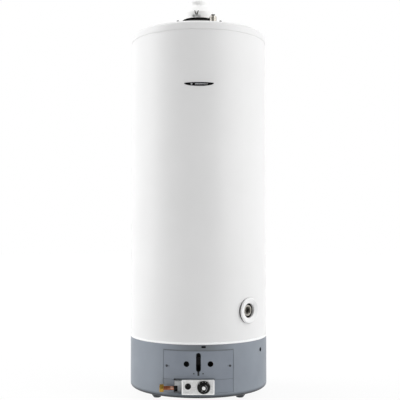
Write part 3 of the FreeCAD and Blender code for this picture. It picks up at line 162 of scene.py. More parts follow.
def surface(
    name, shade, light, gloss, blotch_mm, grain_mm, depth_mm, metallic=0.0, specular=0.5,
    stretch=(1, 1, 1), **constants
):
    """Colour from broad blotches between two tones, gloss and relief from a fine grain."""
    material, tree, shader = blank(
        name, Metallic=metallic, **{"Specular IOR Level": specular}, **constants
    )
    space = object_space(tree, stretch)
    broad = noise(tree, space, blotch_mm)
    fine = noise(tree, space, grain_mm, detail=4.0, roughness=0.6)
    factor = spread(tree, broad.outputs["Fac"], 0.0, 1.0)
    tone = two_tone(tree, factor.outputs[0], shade, light)
    rough = spread(tree, fine.outputs["Fac"], *gloss)
    dress(tree, shader, tone, rough, relief(tree, fine.outputs["Fac"], depth_mm))
    return material


def brushed(name, shade, light, gloss, line_mm, axis, depth_mm=0.02, blotch_mm=6.0):
    """Metal with fine lines along one axis, over a slow change of tone."""
    material, tree, shader = blank(name, Metallic=1.0)
    along = [1.0, 1.0, 1.0]
    along[axis] = 0.02
    lines = noise(tree, object_space(tree, along), line_mm, detail=5.0, roughness=0.65)
    slow = noise(tree, object_space(tree), blotch_mm)
    both = add(
        tree, "ShaderNodeMix", {"data_type": "FLOAT", 0: 0.35},
        {2: lines.outputs["Fac"], 3: slow.outputs["Fac"]},
    )
    factor = spread(tree, both.outputs[0], 0.0, 1.0, 0.36, 0.62)
    tone = two_tone(tree, factor.outputs[0], shade, light)
    rough = spread(tree, lines.outputs["Fac"], *gloss)
    dress(tree, shader, tone, rough, relief(tree, lines.outputs["Fac"], depth_mm, 0.6))
    return material


def spangled(name, shade, light, crystal_mm):
    """Hot-dip galvanised sheet: flat zinc crystals, each with its own tone and gloss."""
    material, tree, shader = blank(name, Metallic=1.0)
    space = object_space(tree)
    crystals = add(
        tree, "ShaderNodeTexVoronoi", {"Scale": 1 / (crystal_mm * METRE), "Randomness": 1.0},
        {"Vector": space.outputs["Vector"]},
    )
    value = add(tree, "ShaderNodeSeparateColor", links={0: crystals.outputs["Color"]})
    tone = two_tone(tree, value.outputs[0], shade, light)
    rough = spread(tree, value.outputs[1], 0.32, 0.5, 0.0, 1.0)
    grain = noise(tree, space, 2.0)
    dress(tree, shader, tone, rough, relief(tree, grain.outputs["Fac"], 0.03, 0.4))
    return material


def heat_glass():
    """Borosilicate disc: nearly black with soot, with a faint smoky ripple."""
    material, tree, shader = blank(
        "borosilicate_glass", IOR=1.47,
        **{"Transmission Weight": 0.15, "Base Color": linear("0a0908"), "Specular IOR Level": 0.05}
    )
    smoke = noise(tree, object_space(tree), 9.0)
    rough = spread(tree, smoke.outputs["Fac"], 0.03, 0.14)
    tree.links.new(rough.outputs[0], shader.inputs["Roughness"])
    return material


def from_axis(tree, near_mm, far_mm):
    """Nought inside the near radius from the object's upright axis, one outside the far radius."""
    flat = object_space(tree, (1, 1, 0))
    radius = add(tree, "ShaderNodeVectorMath", {"operation": "LENGTH"}, {0: flat.outputs["Vector"]})
    return spread(tree, radius.outputs["Value"], 0.0, 1.0, near_mm * METRE, far_mm * METRE)


def above(tree, low_mm, high_mm):
    """Nought below the low height, one above the high height."""
    axes = add(tree, "ShaderNodeSeparateXYZ", links={0: object_space(tree).outputs["Vector"]})
    return spread(tree, axes.outputs["Z"], 0.0, 1.0, low_mm * METRE, high_mm * METRE)


def away_from(tree, point, near_mm, far_mm):
    """Nought within the near distance of a point, one beyond the far distance."""
    apart = add(
        tree, "ShaderNodeVectorMath", {"operation": "DISTANCE", 1: point * METRE},
        {0: object_space(tree).outputs["Vector"]},
    )
    return spread(tree, apart.outputs["Value"], 0.0, 1.0, near_mm * METRE, far_mm * METRE)


def toned(material, tone, mask, *limits):
    """Gives a finished material this tone where the mask, within its limits, is nought."""
    tree = material.node_tree
    shader = next(n for n in tree.nodes if n.type == "BSDF_PRINCIPLED")
    colour = shader.inputs["Base Color"].links[0].from_socket
    share = mask(tree, *limits)
    mix = add(
        tree, "ShaderNodeMix", {"data_type": "RGBA", 6: linear(tone)},
        {0: share.outputs[0], 7: colour},
    )
    tree.links.new(mix.outputs[2], shader.inputs["Base Color"])


# The material of each slot in the record: its name, its two tones, the range of its roughness,
# and in millimetres its blotches, its grain and the depth of its relief.
FINISH = {
    # Baked enamel on rolled steel: even white, a soft sheen, a faint orange peel of about 3 mm.
    "casing_enamel": surface(
        "baked_white_enamel", "e6e6e6", "eaeaea", (0.30, 0.38), 260, 3.0, 0.010, specular=0.4
    ),
    # The same enamel on the thin rolled ring, a shade whiter: a painted highlight along the roll.
    "trim_enamel": surface(
        "baked_white_enamel_trim", "f8f8f8", "fdfdfd", (0.25, 0.32), 90, 3.0, 0.008
    ),
    # Enamel on the spun hood, with the spinning's faint rings under it.
    "hood_enamel": surface(
        "baked_white_enamel_hood", "f1f1f0", "f7f7f6", (0.30, 0.38), 60, 2.0, 0.012,
        stretch=(1, 1, 3),
    ),
    # Screws of the lid, with grey lacquer over the zinc.
    "dark_screws": surface("grey_lacquered_screws", "444444", "606060", (0.35, 0.45), 2, 0.4, 0.02),
    # Cold-rolled steel that has been hot: dull, brown-grey blotches.
    "flue_steel": surface(
        "heat_tinted_steel", "3a3733", "5b5751", (0.4, 0.6), 14, 1.0, 0.04, metallic=1.0
    ),
    # Heat-resisting black on the flue collar: dead matt, faintly chalky.
    "flue_black": surface("stove_black", "0d0d0d", "1a1a19", (0.6, 0.8), 12, 1.0, 0.06),
    # Bimetal thermostat of the flue: satin aluminium cup.
    "sensor_alloy": surface(
        "satin_aluminium", "c0c1c1", "e4e5e5", (0.30, 0.44), 4, 0.5, 0.02, metallic=1.0
    ),
    # Tin-plated brass spade terminals: soft grey, slightly dull.
    "terminal_brass_tinned": surface(
        "tinned_brass", "6f6e6a", "95948f", (0.24, 0.36), 3, 0.4, 0.02, metallic=1.0
    ),
    # Turned steel with zinc plating: bright, nearly neutral, faint turning lines.
    "nipple_metal": surface(
        "zinc_plated_nipple", "cfcbc4", "ebe8e2", (0.20, 0.32), 5, 0.6, 0.015,
        metallic=1.0, stretch=(1, 1, 6),
    ),
    # Natural nylon ring: ivory, waxy.
    "ivory_plastic": surface(
        "natural_nylon", "e3dccb", "ece6d6", (0.36, 0.46), 8, 0.8, 0.02,
        **{"Subsurface Weight": 0.05}
    ),
    # Moulded black ABS with a fine eroded texture.
    "black_plastic": surface(
        "moulded_black_abs", "060606", "0c0c0c", (0.38, 0.5), 10, 0.5, 0.03, specular=0.18
    ),
    # Cross-linked polythene dip tube: milky white, a little waxy.
    "pipe_plastic": surface(
        "crosslinked_polythene", "d8d8d2", "e4e4de", (0.35, 0.45), 20, 1.0, 0.02
    ),
    # Magnesium rod: pale grey, etched.
    "magnesium": surface(
        "cast_magnesium", "8a8a88", "a9a9a6", (0.5, 0.65), 9, 1.2, 0.08, metallic=0.9
    ),
    # Raw tank steel under its primer: blue-grey, blotched by the enamelling oven.
    "tank_steel": surface(
        "fired_tank_steel", "2d3540", "4d5661", (0.4, 0.6), 40, 1.5, 0.05, metallic=0.6
    ),
    # Polyurethane foam: cream, open skin with pits of about 4 mm.
    "foam": surface("polyurethane_foam", "d6c48c", "eadba8", (0.8, 0.95), 60, 4.0, 0.9),
    # The side socket is plated steel, duller than the nipples.
    "socket_metal": surface(
        "zinc_plated_socket", "8c8b86", "b1aea6", (0.24, 0.36), 6, 0.8, 0.02, metallic=1.0
    ),
    # Injection-moulded white ABS rosette: satin, even.
    "white_plastic": surface(
        "moulded_white_abs", "ebebeb", "f0f0f0", (0.30, 0.38), 40, 1.0, 0.01, specular=0.45
    ),
    # Turned brass of the small gas fittings: warm yellow with a fine turned grain.
    "brass": surface("turned_brass", "9c7a38", "c9a75a", (0.22, 0.35), 6, 0.5, 0.02, metallic=1.0),
    # Annealed copper tube near the burner: dark brown from the heat.
    "copper": surface(
        "annealed_copper", "2c1a12", "4a2c20", (0.35, 0.5), 6, 0.5, 0.02, metallic=1.0
    ),
    # Grey texture paint on the pressed skirt: a matt sheen and a fine 1.2 mm grain.
    "skirt_paint": surface(
        "grey_texture_paint", "828992", "8b929b", (0.42, 0.52), 110, 1.2, 0.020, specular=0.35
    ),
    # The panels come from another batch of the same paint, a shade darker.
    "panel_paint": surface(
        "grey_texture_paint_panels", "7f8690", "878e98", (0.42, 0.52), 80, 1.2, 0.020, specular=0.35
    ),
    # Zinc-plated screws: a little blue, worn at the slot.
    "zinc_screws": surface(
        "zinc_plated_screws", "3a3c3f", "5c5f62", (0.26, 0.4), 2, 0.4, 0.02, metallic=1.0
    ),
    # The slot's guide plate is painted darker than the skirt.
    "dark_steel": surface("dark_grey_paint", "191b1e", "26292d", (0.4, 0.5), 6, 0.8, 0.02),
    # Galvanised sheet of the base and brackets: grey spangle of about 9 mm.
    "galvanised_steel": spangled("hot_dip_galvanised_sheet", "83868a", "b4b7ba", 9.0),
    # The skirt's grey on the cast feet, in their own shade and scuffed.
    "foot_paint": surface("grey_foot_paint", "25292e", "3d4248", (0.45, 0.6), 8, 0.8, 0.05),
    # Stainless burner: straw and blue tints from the flame, under a film of soot.
    "burner_steel": surface(
        "heat_tinted_stainless", "2b241c", "3f4048", (0.4, 0.55), 18, 0.8, 0.03, metallic=1.0
    ),
    # Drawn aluminium tube: pale, softly shining.
    "aluminium_tube": surface(
        "drawn_aluminium_tube", "b4b6b8", "cdd0d2", (0.3, 0.42), 8, 0.6, 0.02, metallic=1.0
    ),
    # Glazed alumina of the spark electrode: glossy white.
    "electrode_ceramic": surface("glazed_alumina", "e9e6de", "f4f2ec", (0.12, 0.2), 5, 0.8, 0.01),
    # Silicone sleeve of the ignition lead: brick red under a dark film from the burner.
    "lead_sheath": surface("sooted_silicone_sleeve", "26100d", "3a1511", (0.5, 0.7), 4, 0.5, 0.03),
    "glass": heat_glass(),
    # Zinc die casting: grey, slightly mottled skin from the mould.
    "die_casting": surface(
        "zinc_die_casting", "9a9c9e", "bcbebf", (0.36, 0.52), 7, 0.7, 0.05, metallic=0.85
    ),
    # Stamped aluminium cover with lines brushed from left to right.
    "brushed_plate": brushed("brushed_aluminium_cover", "c6c6c6", "ececec", (0.40, 0.54), 0.5, 0),
    # Black phenolic knob: glossy moulding with a little swirl.
    "knob_plastic": surface(
        "moulded_black_phenolic", "060606", "0d0d0d", (0.26, 0.36), 12, 0.6, 0.015, specular=0.22
    ),
    # Pad-printed white on the dial and the white cap.
    "white_mark": surface("white_print", "eeeeee", "f8f8f8", (0.35, 0.42), 4, 0.5, 0.01),
    # Blacked steel gland nut: oiled, nearly black.
    "black_steel": surface(
        "blacked_steel", "0a0908", "161412", (0.36, 0.5), 5, 0.5, 0.03, specular=0.25
    ),
    # Drawn copper pipe: pink-brown with darker tarnish, and drawing lines along it.
    "copper_pipe": brushed(
        "drawn_copper_tube", "5c3322", "a0644a", (0.22, 0.40), 0.8, 0, 0.03, 5.0
    ),
    # Machined brass nut: yellow, with facing marks.
    "brass_nut": surface(
        "machined_brass", "967632", "c6a252", (0.34, 0.5), 5, 0.5, 0.03, metallic=1.0
    ),
    # Black lacquer over brass, with the fine print of the roller in its gloss.
    "badge": surface(
        "black_lacquer_plate", "050505", "0a0a0b", (0.20, 0.30), 20, 2.0, 0.006, specular=0.25
    ),
}

# Sheet that has stood beside the burner: dull, nearly black, partly from soot and partly as painted
# shade for the dark inside, brown where it is thin.
SOOT_AND_SHADE_SHEET = surface("soot_and_shade_sheet", "0b0b0a", "1b1917", (0.6, 0.85), 20, 1.0, 0.04)
# Black ring in the gap under the rosette's rim, a painted shadow there: dull black with an open
# skin like sponge rubber.
SHADE_RING_BLACK = surface("shade_ring_black", "0e0e0e", "1d1d1c", (0.7, 0.9), 8, 0.9, 0.12, specular=0.2)
# Grey polythene transport plug, with the dull bloom of a soft plastic.
PLUG_PLASTIC = surface("grey_polythene_plug", "3c3b3a", "51504e", (0.4, 0.5), 6, 0.6, 0.03)
# Grey on the dial, flat and even: the printed ticks, and a painted highlight arc on the grip's
# face.
GREY_PRINT_AND_HIGHLIGHT = surface("grey_print_and_highlight", "a6a7a9", "bcbdbf", (0.4, 0.5), 4, 0.5, 0.01)
# Painted highlight on the cover's folded edges: paler and smoother aluminium.
HIGHLIGHT_EDGE = surface(
    "highlight_aluminium_edge", "ececec", "fafafa", (0.34, 0.46), 6, 0.6, 0.01, metallic=0.7
)
# Silver foil ornament: bright, with a fine pressed grain.
SILVER_FOIL = surface("silver_foil", "a9abad", "cfd0d2", (0.34, 0.48), 3, 0.4, 0.02, metallic=0.1)

# Painted shade: the skirt's frame, seen in the gaps behind the panels, is darkened, and so is the
# rolled foot where it curves under.
toned(FINISH["skirt_paint"], "4c5056", from_axis, SKIRT_R - 1.6, SKIRT_R - 0.8)
toned(FINISH["skirt_paint"], "2f3236", above, SKIRT_FOOT + 4, SKIRT_FOOT + 16)
# Painted shade under the jacket's overhang, darkest near this point at the front.
OVERHANG_SHADE_SPOT = Vector((8, -249, 212))
toned(FINISH["skirt_paint"], "70757a", away_from, OVERHANG_SHADE_SPOT, 25, 122)
# Painted shade on the panels' edges, in the gaps around and between them.
toned(FINISH["panel_paint"], "3a3d42", from_axis, SKIRT_R - 1.1, SKIRT_R - 0.4)
# The casting is darker towards its foot.
toned(FINISH["die_casting"], "55565a", above, 52, 84)
# Painted highlight: a pale glint on the copper beside the gland.
GLINT_SPOT = Vector((-89, -258, 70))
toned(FINISH["copper_pipe"], "f0cdb8", away_from, GLINT_SPOT, 4, 11)
# Painted shade: the foam is darkened where it shows in the pocket around the side socket.
toned(FINISH["foam"], "14120e", away_from, mount("side_connection")[0], 45, 60)

for part in frame["record"]["subparts"]:
    mesh = NODES[part["node"]].data
    mesh.materials.clear()
    mesh.materials.append(FINISH[part["material_slot"]])

# The inner door, seen through the slot and the sight holes, is nearly black: soot, and painted
# shade.
NODES["inner_door"].data.materials[0] = SOOT_AND_SHADE_SHEET


# ---------------------------------------------------------------- modelling helpers

def tidy(bm):
    """Drops edges and points that no face uses, and points every face outwards."""
    loose = [e for e in bm.edges if not e.link_faces]
    bmesh.ops.delete(bm, geom=loose, context="EDGES")
    lone = [v for v in bm.verts if not v.link_edges]
    bmesh.ops.delete(bm, geom=lone, context="VERTS")
    bmesh.ops.recalc_face_normals(bm, faces=bm.faces)


def turned(profile, steps=96, angle=TURN):
    """Revolves a closed profile of (radius, height) points about Z."""
    bm = bmesh.new()
    points = [bm.verts.new((r, 0, z)) for r, z in profile]
    edges = [bm.edges.new(pair) for pair in zip(points, points[1:] + points[:1])]
    full = abs(angle - TURN) < 1e-6
    bmesh.ops.spin(
        bm, geom=points + edges, cent=(0, 0, 0), axis=(0, 0, 1), angle=angle, steps=steps,
        use_merge=full,
    )
    bmesh.ops.remove_doubles(bm, verts=bm.verts, dist=1e-4)
    tidy(bm)
    return bm


def rounded(profile, radius, segments=4, keep=()):
    """The profile with its corners rounded, apart from those on the axis and those in keep."""
    bm = bmesh.new()
    points = [bm.verts.new((r, 0, z)) for r, z in profile]
    bm.faces.new(points)
    corners = [v for i, v in enumerate(points) if profile[i][0] > 0 and i not in keep]
    bmesh.ops.bevel(
        bm, geom=corners, offset=radius, affect="VERTICES", segments=segments, profile=0.5,
        material=-1,
    )
    face = bm.faces[:][0]
    result = [(v.co.x, v.co.z) for v in face.verts]
    bm.free()
    return result


def softened(bm, width, segments=2, angle=30.0):
    """Bevels every edge sharper than this angle."""
    sharp = [e for e in bm.edges if e.is_manifold and e.calc_face_angle(0) > math.radians(angle)]
    bmesh.ops.bevel(
        bm, geom=sharp, offset=width, affect="EDGES", segments=segments, profile=0.5, material=-1,
        clamp_overlap=True,
    )
    return bm


def shifted(bm, way):
    """Moves a piece."""
    bmesh.ops.translate(bm, verts=bm.verts, vec=way)
    return bm


def swung(bm, degrees, axis="Z"):
    """Turns a piece about an axis through the origin."""
    turn = Matrix.Rotation(math.radians(degrees), 3, axis)
    bmesh.ops.rotate(bm, verts=bm.verts, cent=(0, 0, 0), matrix=turn)
    return bm


def aim(bm, centre, axis):
    """Turns a piece made about Z at the origin to this axis and centre."""
    turn = UP.rotation_difference(Vector(axis).normalized()).to_matrix()
    bmesh.ops.rotate(bm, verts=bm.verts, cent=(0, 0, 0), matrix=turn)
    return shifted(bm, centre)


def joined(parts):
    """Several meshes as one."""
    whole = bmesh.new()
    for bm in parts:
        mesh = bpy.data.meshes.new("part")
        bm.to_mesh(mesh)
        bm.free()
        whole.from_mesh(mesh)
        bpy.data.meshes.remove(mesh)
    return whole


def carved(bm, cutter, operation="DIFFERENCE"):
    """The mesh with the cutter taken away from it, or kept only inside it."""
    objects = []
    for source in (bm, cutter):
        mesh = bpy.data.meshes.new("carving")
        source.to_mesh(mesh)
        source.free()
        thing = bpy.data.objects.new("carving", mesh)
        bpy.context.scene.collection.objects.link(thing)
        objects.append(thing)
    body, tool = objects
    boolean = body.modifiers.new("carve", "BOOLEAN")
    boolean.operation = operation
    boolean.solver = "EXACT"
    boolean.object = tool
    graph = bpy.context.evaluated_depsgraph_get()
    result = bpy.data.meshes.new_from_object(body.evaluated_get(graph))
    bm = bmesh.new()
    bm.from_mesh(result)
    bpy.data.meshes.remove(result)
    for thing in objects:
        mesh = thing.data
        bpy.data.objects.remove(thing)
        bpy.data.meshes.remove(mesh)
    return bm


def box(low, high):
    """Block between two corners."""
    bm = bmesh.new()
    bmesh.ops.create_cube(bm, size=1)
    low, high = Vector(low), Vector(high)
    bmesh.ops.scale(bm, verts=bm.verts, vec=high - low)
    return shifted(bm, (low + high) / 2)


def rod(radius, length, sides=48):
    """Cylinder from the origin up Z."""
    bm = bmesh.new()
    bmesh.ops.create_cone(
        bm, cap_ends=True, segments=sides, radius1=radius, radius2=radius, depth=length
    )
    return shifted(bm, (0, 0, length / 2))


def finished(bm, name, body, slot, stands_for=(), smooth=35.0, material=None):
    """Makes the mesh an object in metres that rides on a body and stands for its nodes.

    Edges that turn by less than the smooth angle are shaded smoothly.
    """
    bmesh.ops.scale(bm, verts=bm.verts, vec=(METRE,) * 3)
    for face in bm.faces:
        face.smooth = True
    for edge in bm.edges:
        edge.smooth = not edge.is_manifold or edge.calc_face_angle(0) < math.radians(smooth)
    mesh = bpy.data.meshes.new(name)
    bm.to_mesh(mesh)
    bm.free()
    mesh.materials.append(material or FINISH[slot])
    piece = bpy.data.objects.new(name, mesh)
    bpy.context.scene.collection.objects.link(piece)
    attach(piece, body)
    if stands_for:
        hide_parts(*stands_for)
    return piece


# ---------------------------------------------------------------- top fittings

PIPE_PITCH = 25.4 / 14
THREAD_STEPS = 28       # around one turn


def helix(root_r, crest_r, low_z, high_z):
    """V thread of 14 turns to the inch on a shaft or, with the crest inside the root, in a bore."""
    tooth = bmesh.new()
    half = PIPE_PITCH / 2 - 0.05
    flat = 0.42
    z = low_z + half
    sunk = root_r - math.copysign(0.3, crest_r - root_r)
    face = tooth.faces.new([tooth.verts.new(p) for p in (
        (sunk, 0, z - half), (crest_r, 0, z - flat), (crest_r, 0, z + flat), (sunk, 0, z + half),
    )])
    turns = int((high_z - low_z - 2 * half) / PIPE_PITCH)
    bmesh.ops.spin(
        tooth, geom=[face], cent=(0, 0, 0), axis=(0, 0, 1),
        dvec=(0, 0, PIPE_PITCH / THREAD_STEPS), angle=TURN * turns, steps=THREAD_STEPS * turns,
    )
    tidy(tooth)
    return tooth


def threaded_nipple(node, outlet, name):
    """Nipple with a pipe thread on its upper length, a plain neck and a chamfered mouth."""
    low, high, middle = span(node)
    dims = mount(outlet)[2]
    outer = dims["r_mm"]
    core = outer - 1.16
    neck = outer - 0.8
    bore = 9.5
    top = high.z
    start = top - dims["length_mm"]
    body = turned(rounded([
        (bore, low.z), (neck, low.z), (neck, start), (core, start), (core, top), (bore, top),
    ], 0.4, 2))
    bm = joined([body, helix(core, outer, start + 0.8, top - 1.2)])
    finished(shifted(bm, (middle.x, middle.y, 0)), name, "appliance", "nipple_metal", (node,))


threaded_nipple("hot_outlet_nipple", "hot_outlet", "hot_outlet_thread")
threaded_nipple("cold_inlet_nipple", "cold_inlet", "cold_inlet_thread")


def transport_plug(x, y, low_z, flange_z, top_z):
    """Soft plug: stem, thin flange, and a hollow grip with a cross rib in it."""
    stem_r, flange_r, grip_r, hollow_r = 7.0, 10.4, 7.6, 5.6
    flange_top = flange_z + 1.0
    hollow_z = flange_top + 1.4
    grip_z = flange_top - 0.4
    stem = [
        (0, low_z), (stem_r - 0.6, low_z), (stem_r, low_z + 2), (stem_r, flange_z),
        (flange_r, flange_z), (flange_r, flange_top), (0, flange_top),
    ]
    grip = [
        (0, grip_z), (grip_r, grip_z), (grip_r - 0.2, top_z),
        (hollow_r, top_z), (hollow_r, hollow_z), (0, hollow_z),
    ]
    parts = [turned(rounded(outline, 0.35, 2), 64) for outline in (stem, grip)]
    reach, half_wall = hollow_r + 0.3, 0.6
    for degrees in (0, 90):
        rib = box((-reach, -half_wall, flange_top), (reach, half_wall, top_z - 0.3))
        parts.append(swung(softened(rib, 0.2), degrees))
    return shifted(joined(parts), (x, y, 0))


def plugs():
    """A plug in each nipple, its flange on the mouth."""
    low, high, _ = span("nipple_plugs")
    mouths = [mount(outlet)[0] for outlet in ("hot_outlet", "cold_inlet")]
    parts = [transport_plug(mouth.x, mouth.y, low.z, mouth.z, high.z) for mouth in mouths]
    finished(
        joined(parts), "transport_plugs", "appliance", "black_plastic", ("nipple_plugs",),
        material=PLUG_PLASTIC,
    )


plugs()


def pan_screw(head_r, head, shank_r, shank):
    """Screw about Z with its head's underside at the origin: domed head and a cross recess."""
    dome = [(0, head)]
    for i in range(1, 7):
        lean = math.radians(15 * i)
        dome.append((head_r * math.sin(lean), head * (0.35 + 0.65 * math.cos(lean))))
    under = [(0, -shank), (shank_r, -shank + 0.6), (shank_r, 0), (head_r, 0)]
    body = turned(under + dome[:0:-1] + [dome[0]], 48)
    reach, half_wall = head_r * 0.52, head_r * 0.11
    for degrees in (0, 90):
        arm = box((-reach, -half_wall, head * 0.45), (reach, half_wall, head + 1))
        body = carved(body, swung(arm, degrees))
    return body


def lid_screws():
    """Four screws that stand square to the domed lid, two at the front and two behind."""
    dome_r = 842.8
    circle_r = 230.0
    from_front = 18.7
    set_turn = 0.7
    washer = 0.5
    lean = math.asin(circle_r / dome_r)
    dome = Vector((0, 0, span("top_cover")[1].z - dome_r))
    parts = []
    for angle in (from_front, -from_front, 180 - from_front, 180 + from_front):
        turn = math.radians(angle + set_turn)
        out = Vector((
            math.sin(lean) * math.sin(turn), -math.sin(lean) * math.cos(turn), math.cos(lean),
        ))
        screw = pan_screw(head_r=4.2, head=4.0, shank_r=1.9, shank=7.5)
        parts.append(aim(screw, dome + out * (dome_r + washer), out))
    finished(joined(parts), "lid_pan_screws", "appliance", "dark_screws", ("top_cover_screws",))


lid_screws()


def flue_thermostat():
    """Bimetal switch: flanged aluminium cup on a pressed strap with two rivets."""
    low, high, middle = span("flue_sensor")
    strap_y = high.y - 1.2
    strap = softened(box((low.x, strap_y, low.z), (high.x, high.y, low.z + 9.0)), 0.5)
    flange_r, flange, cup_r, cup_depth = 7.0, 2.2, 5.9, 8.0
    cup = turned(rounded([
        (0, 0), (flange_r, 0), (flange_r, flange), (cup_r, flange), (cup_r, cup_depth),
        (0, cup_depth),
    ], 0.5, 3), 64)
    parts = [strap, aim(cup, (middle.x, strap_y, high.z - flange_r), FRONT)]
    rivet_r, rivet, rivet_x, rivet_z = 1.7, 0.9, 10.2, low.z + 4.2
    for side in (-1, 1):
        head = turned(rounded([(0, 0), (rivet_r, 0), (rivet_r, rivet), (0, rivet)], 0.3, 2), 24)
        parts.append(aim(head, (middle.x + side * rivet_x, strap_y, rivet_z), FRONT))
    finished(joined(parts), "flue_thermostat", "appliance", "sensor_alloy", ("flue_sensor",))


flue_thermostat()


def spade_terminals():
    """Two leaning blades, each with a hole and a pointed end."""
    low, high, middle = span("flue_sensor_terminals")
    half, shoulder, tip, wall = 2.0, 13.2, 14.9, 0.8
    hole_r, hole_z = 0.8, 11.4
    lean, apart, foot_z = 17.0, 2.2, low.z + 0.6
    outline = [(-half, 0), (half, 0), (half, shoulder), (1.0, tip), (-1.0, tip), (-half, shoulder)]
    parts = []
    for side in (-1, 1):
        blade = bmesh.new()
        face = blade.faces.new([blade.verts.new((x, 0, z)) for x, z in outline])
        wall_faces = bmesh.ops.extrude_face_region(blade, geom=[face])
        moved = [v for v in wall_faces["geom"] if isinstance(v, bmesh.types.BMVert)]
        bmesh.ops.translate(blade, verts=moved, vec=(0, wall, 0))
        bmesh.ops.recalc_face_normals(blade, faces=blade.faces)
        hole = aim(rod(hole_r, 4, 20), (0, -1.5, hole_z), -FRONT)
        blade = softened(carved(blade, hole), 0.12, 1)
        swung(blade, side * lean, "Y")
        parts.append(shifted(blade, (middle.x + side * apart, low.y, foot_z)))
    finished(
        joined(parts), "spade_terminals", "appliance", "terminal_brass_tinned",
        ("flue_sensor_terminals",),
    )


spade_terminals()


def spun_hood():
    """Hood spun from sheet: a curled rim, a soft break at the cone and a rolled spigot edge."""
    low, high, _ = span("draught_hood")
    spigot_r = mount("flue_outlet")[2]["r_mm"]
    rim_r = high.x
    skirt_r = rim_r - 0.35
    lip_z = low.z + 24.0
    cone_z = lip_z + 27.5
    wall = 1.0
    curl = 1.3
    outer = [
        (rim_r - 2 * curl, low.z + 0.3), (rim_r - curl, low.z), (rim_r, low.z + curl),
        (skirt_r, low.z + 2 * curl), (skirt_r, lip_z), (spigot_r + 0.4, cone_z),
        (spigot_r - 0.4, cone_z + 1.6), (spigot_r - 0.4, high.z - 2 * curl),
        (spigot_r, high.z - curl), (spigot_r - 0.5, high.z),
    ]
    inner = [
        (spigot_r - 1.6, high.z), (spigot_r - 1.6, cone_z + 1.2),
        (skirt_r - wall, lip_z - 0.6), (skirt_r - wall, low.z + 2 * curl),
    ]
    bm = turned(rounded(outer + inner, 0.5, 3), 128)
    hood = finished(bm, "spun_draught_hood", "appliance", "hood_enamel", ("draught_hood",), 40)
    # Only the outside is enamelled.
    hood.data.materials.append(FINISH["flue_black"])
    for face in hood.data.polygons:
        outward = Vector((face.center.x, face.center.y, 0)).normalized()
        if face.normal.dot(outward) < -0.25:
            face.material_index = 1


spun_hood()


# ---------------------------------------------------------------- jacket fittings

def side_connection():
    """Dished rosette with a rounded crest and rim, and the threaded socket set back inside it."""
    mouth, out, dims = mount("side_connection")
    recess = 4.0
    bore, crest, rim = 25.5, 41.1, 45.0
    dish_z, crest_z, rim_z = 1.9, 7.5, 3.2
    wall, lip, foot_z = 1.6, 1.2, -6.0
    steps = 8
    face = []
    for share in [step / steps for step in range(steps + 1)]:
        rise = 0.6 * share + 0.4 * math.sin(share * TURN / 4)
        face.append((bore + (crest - bore) * share, dish_z + (crest_z - dish_z) * rise))
    for share in [step / steps for step in range(1, steps + 1)]:
        fall = 1 - math.cos(share * TURN / 4)
        face.append((crest + (rim - crest) * share, crest_z - (crest_z - rim_z) * fall))
    back = [(r - 0.3, z - wall) for r, z in reversed(face[3:-1])]
    profile = face + [(rim, rim_z - 1.0), (rim - 1.0, rim_z - wall)] + back
    profile += [(bore + lip, dish_z - wall), (bore + lip, foot_z), (bore, foot_z)]
    rosette = aim(turned(profile, 160), mouth + out * recess, out)
    finished(rosette, "side_rosette_ring", "appliance", "white_plastic", ("side_rosette",), 50)

    # A black ring fills the gap under the rosette's rim: a painted shadow there.
    inner, outer, shade_ring_z = 40.6, 44.3, -5.2
    shade_ring = turned(rounded([
        (inner, shade_ring_z), (outer, shade_ring_z), (outer, 2.2), (inner, 3.2),
    ], 0.4, 2), 128)
    finished(
        aim(shade_ring, mouth + out * recess, out), "rosette_shade_ring", "appliance", "black_plastic",
        material=SHADE_RING_BLACK,
    )

    outer, way, length, thread = 19.5, 9.5, 47.0, dims["length_mm"]
    peak = dims["r_mm"]
    root = peak + 1.1
    socket = turned(rounded([
        (way, -length), (outer, -length), (outer, 0), (root, 0), (root, -thread), (way, -thread),
    ], 0.8, 3), 96)
    socket = joined([socket, helix(root, peak, -thread + 1, -1.0)])
    finished(aim(socket, mouth, out), "side_socket", "appliance", "socket_metal", ("side_boss",))


side_connection()


def wrapped(bm, x, z, base_r):
    """Lays a flat piece, drawn in X and Y and thick up Z, onto a cylinder about the axis."""
    for v in bm.verts:
        across, up, out = v.co
        across += x
        v.co = (across, -math.sqrt((base_r + out) ** 2 - across ** 2), z + up)
    bmesh.ops.recalc_face_normals(bm, faces=bm.faces)
    return bm


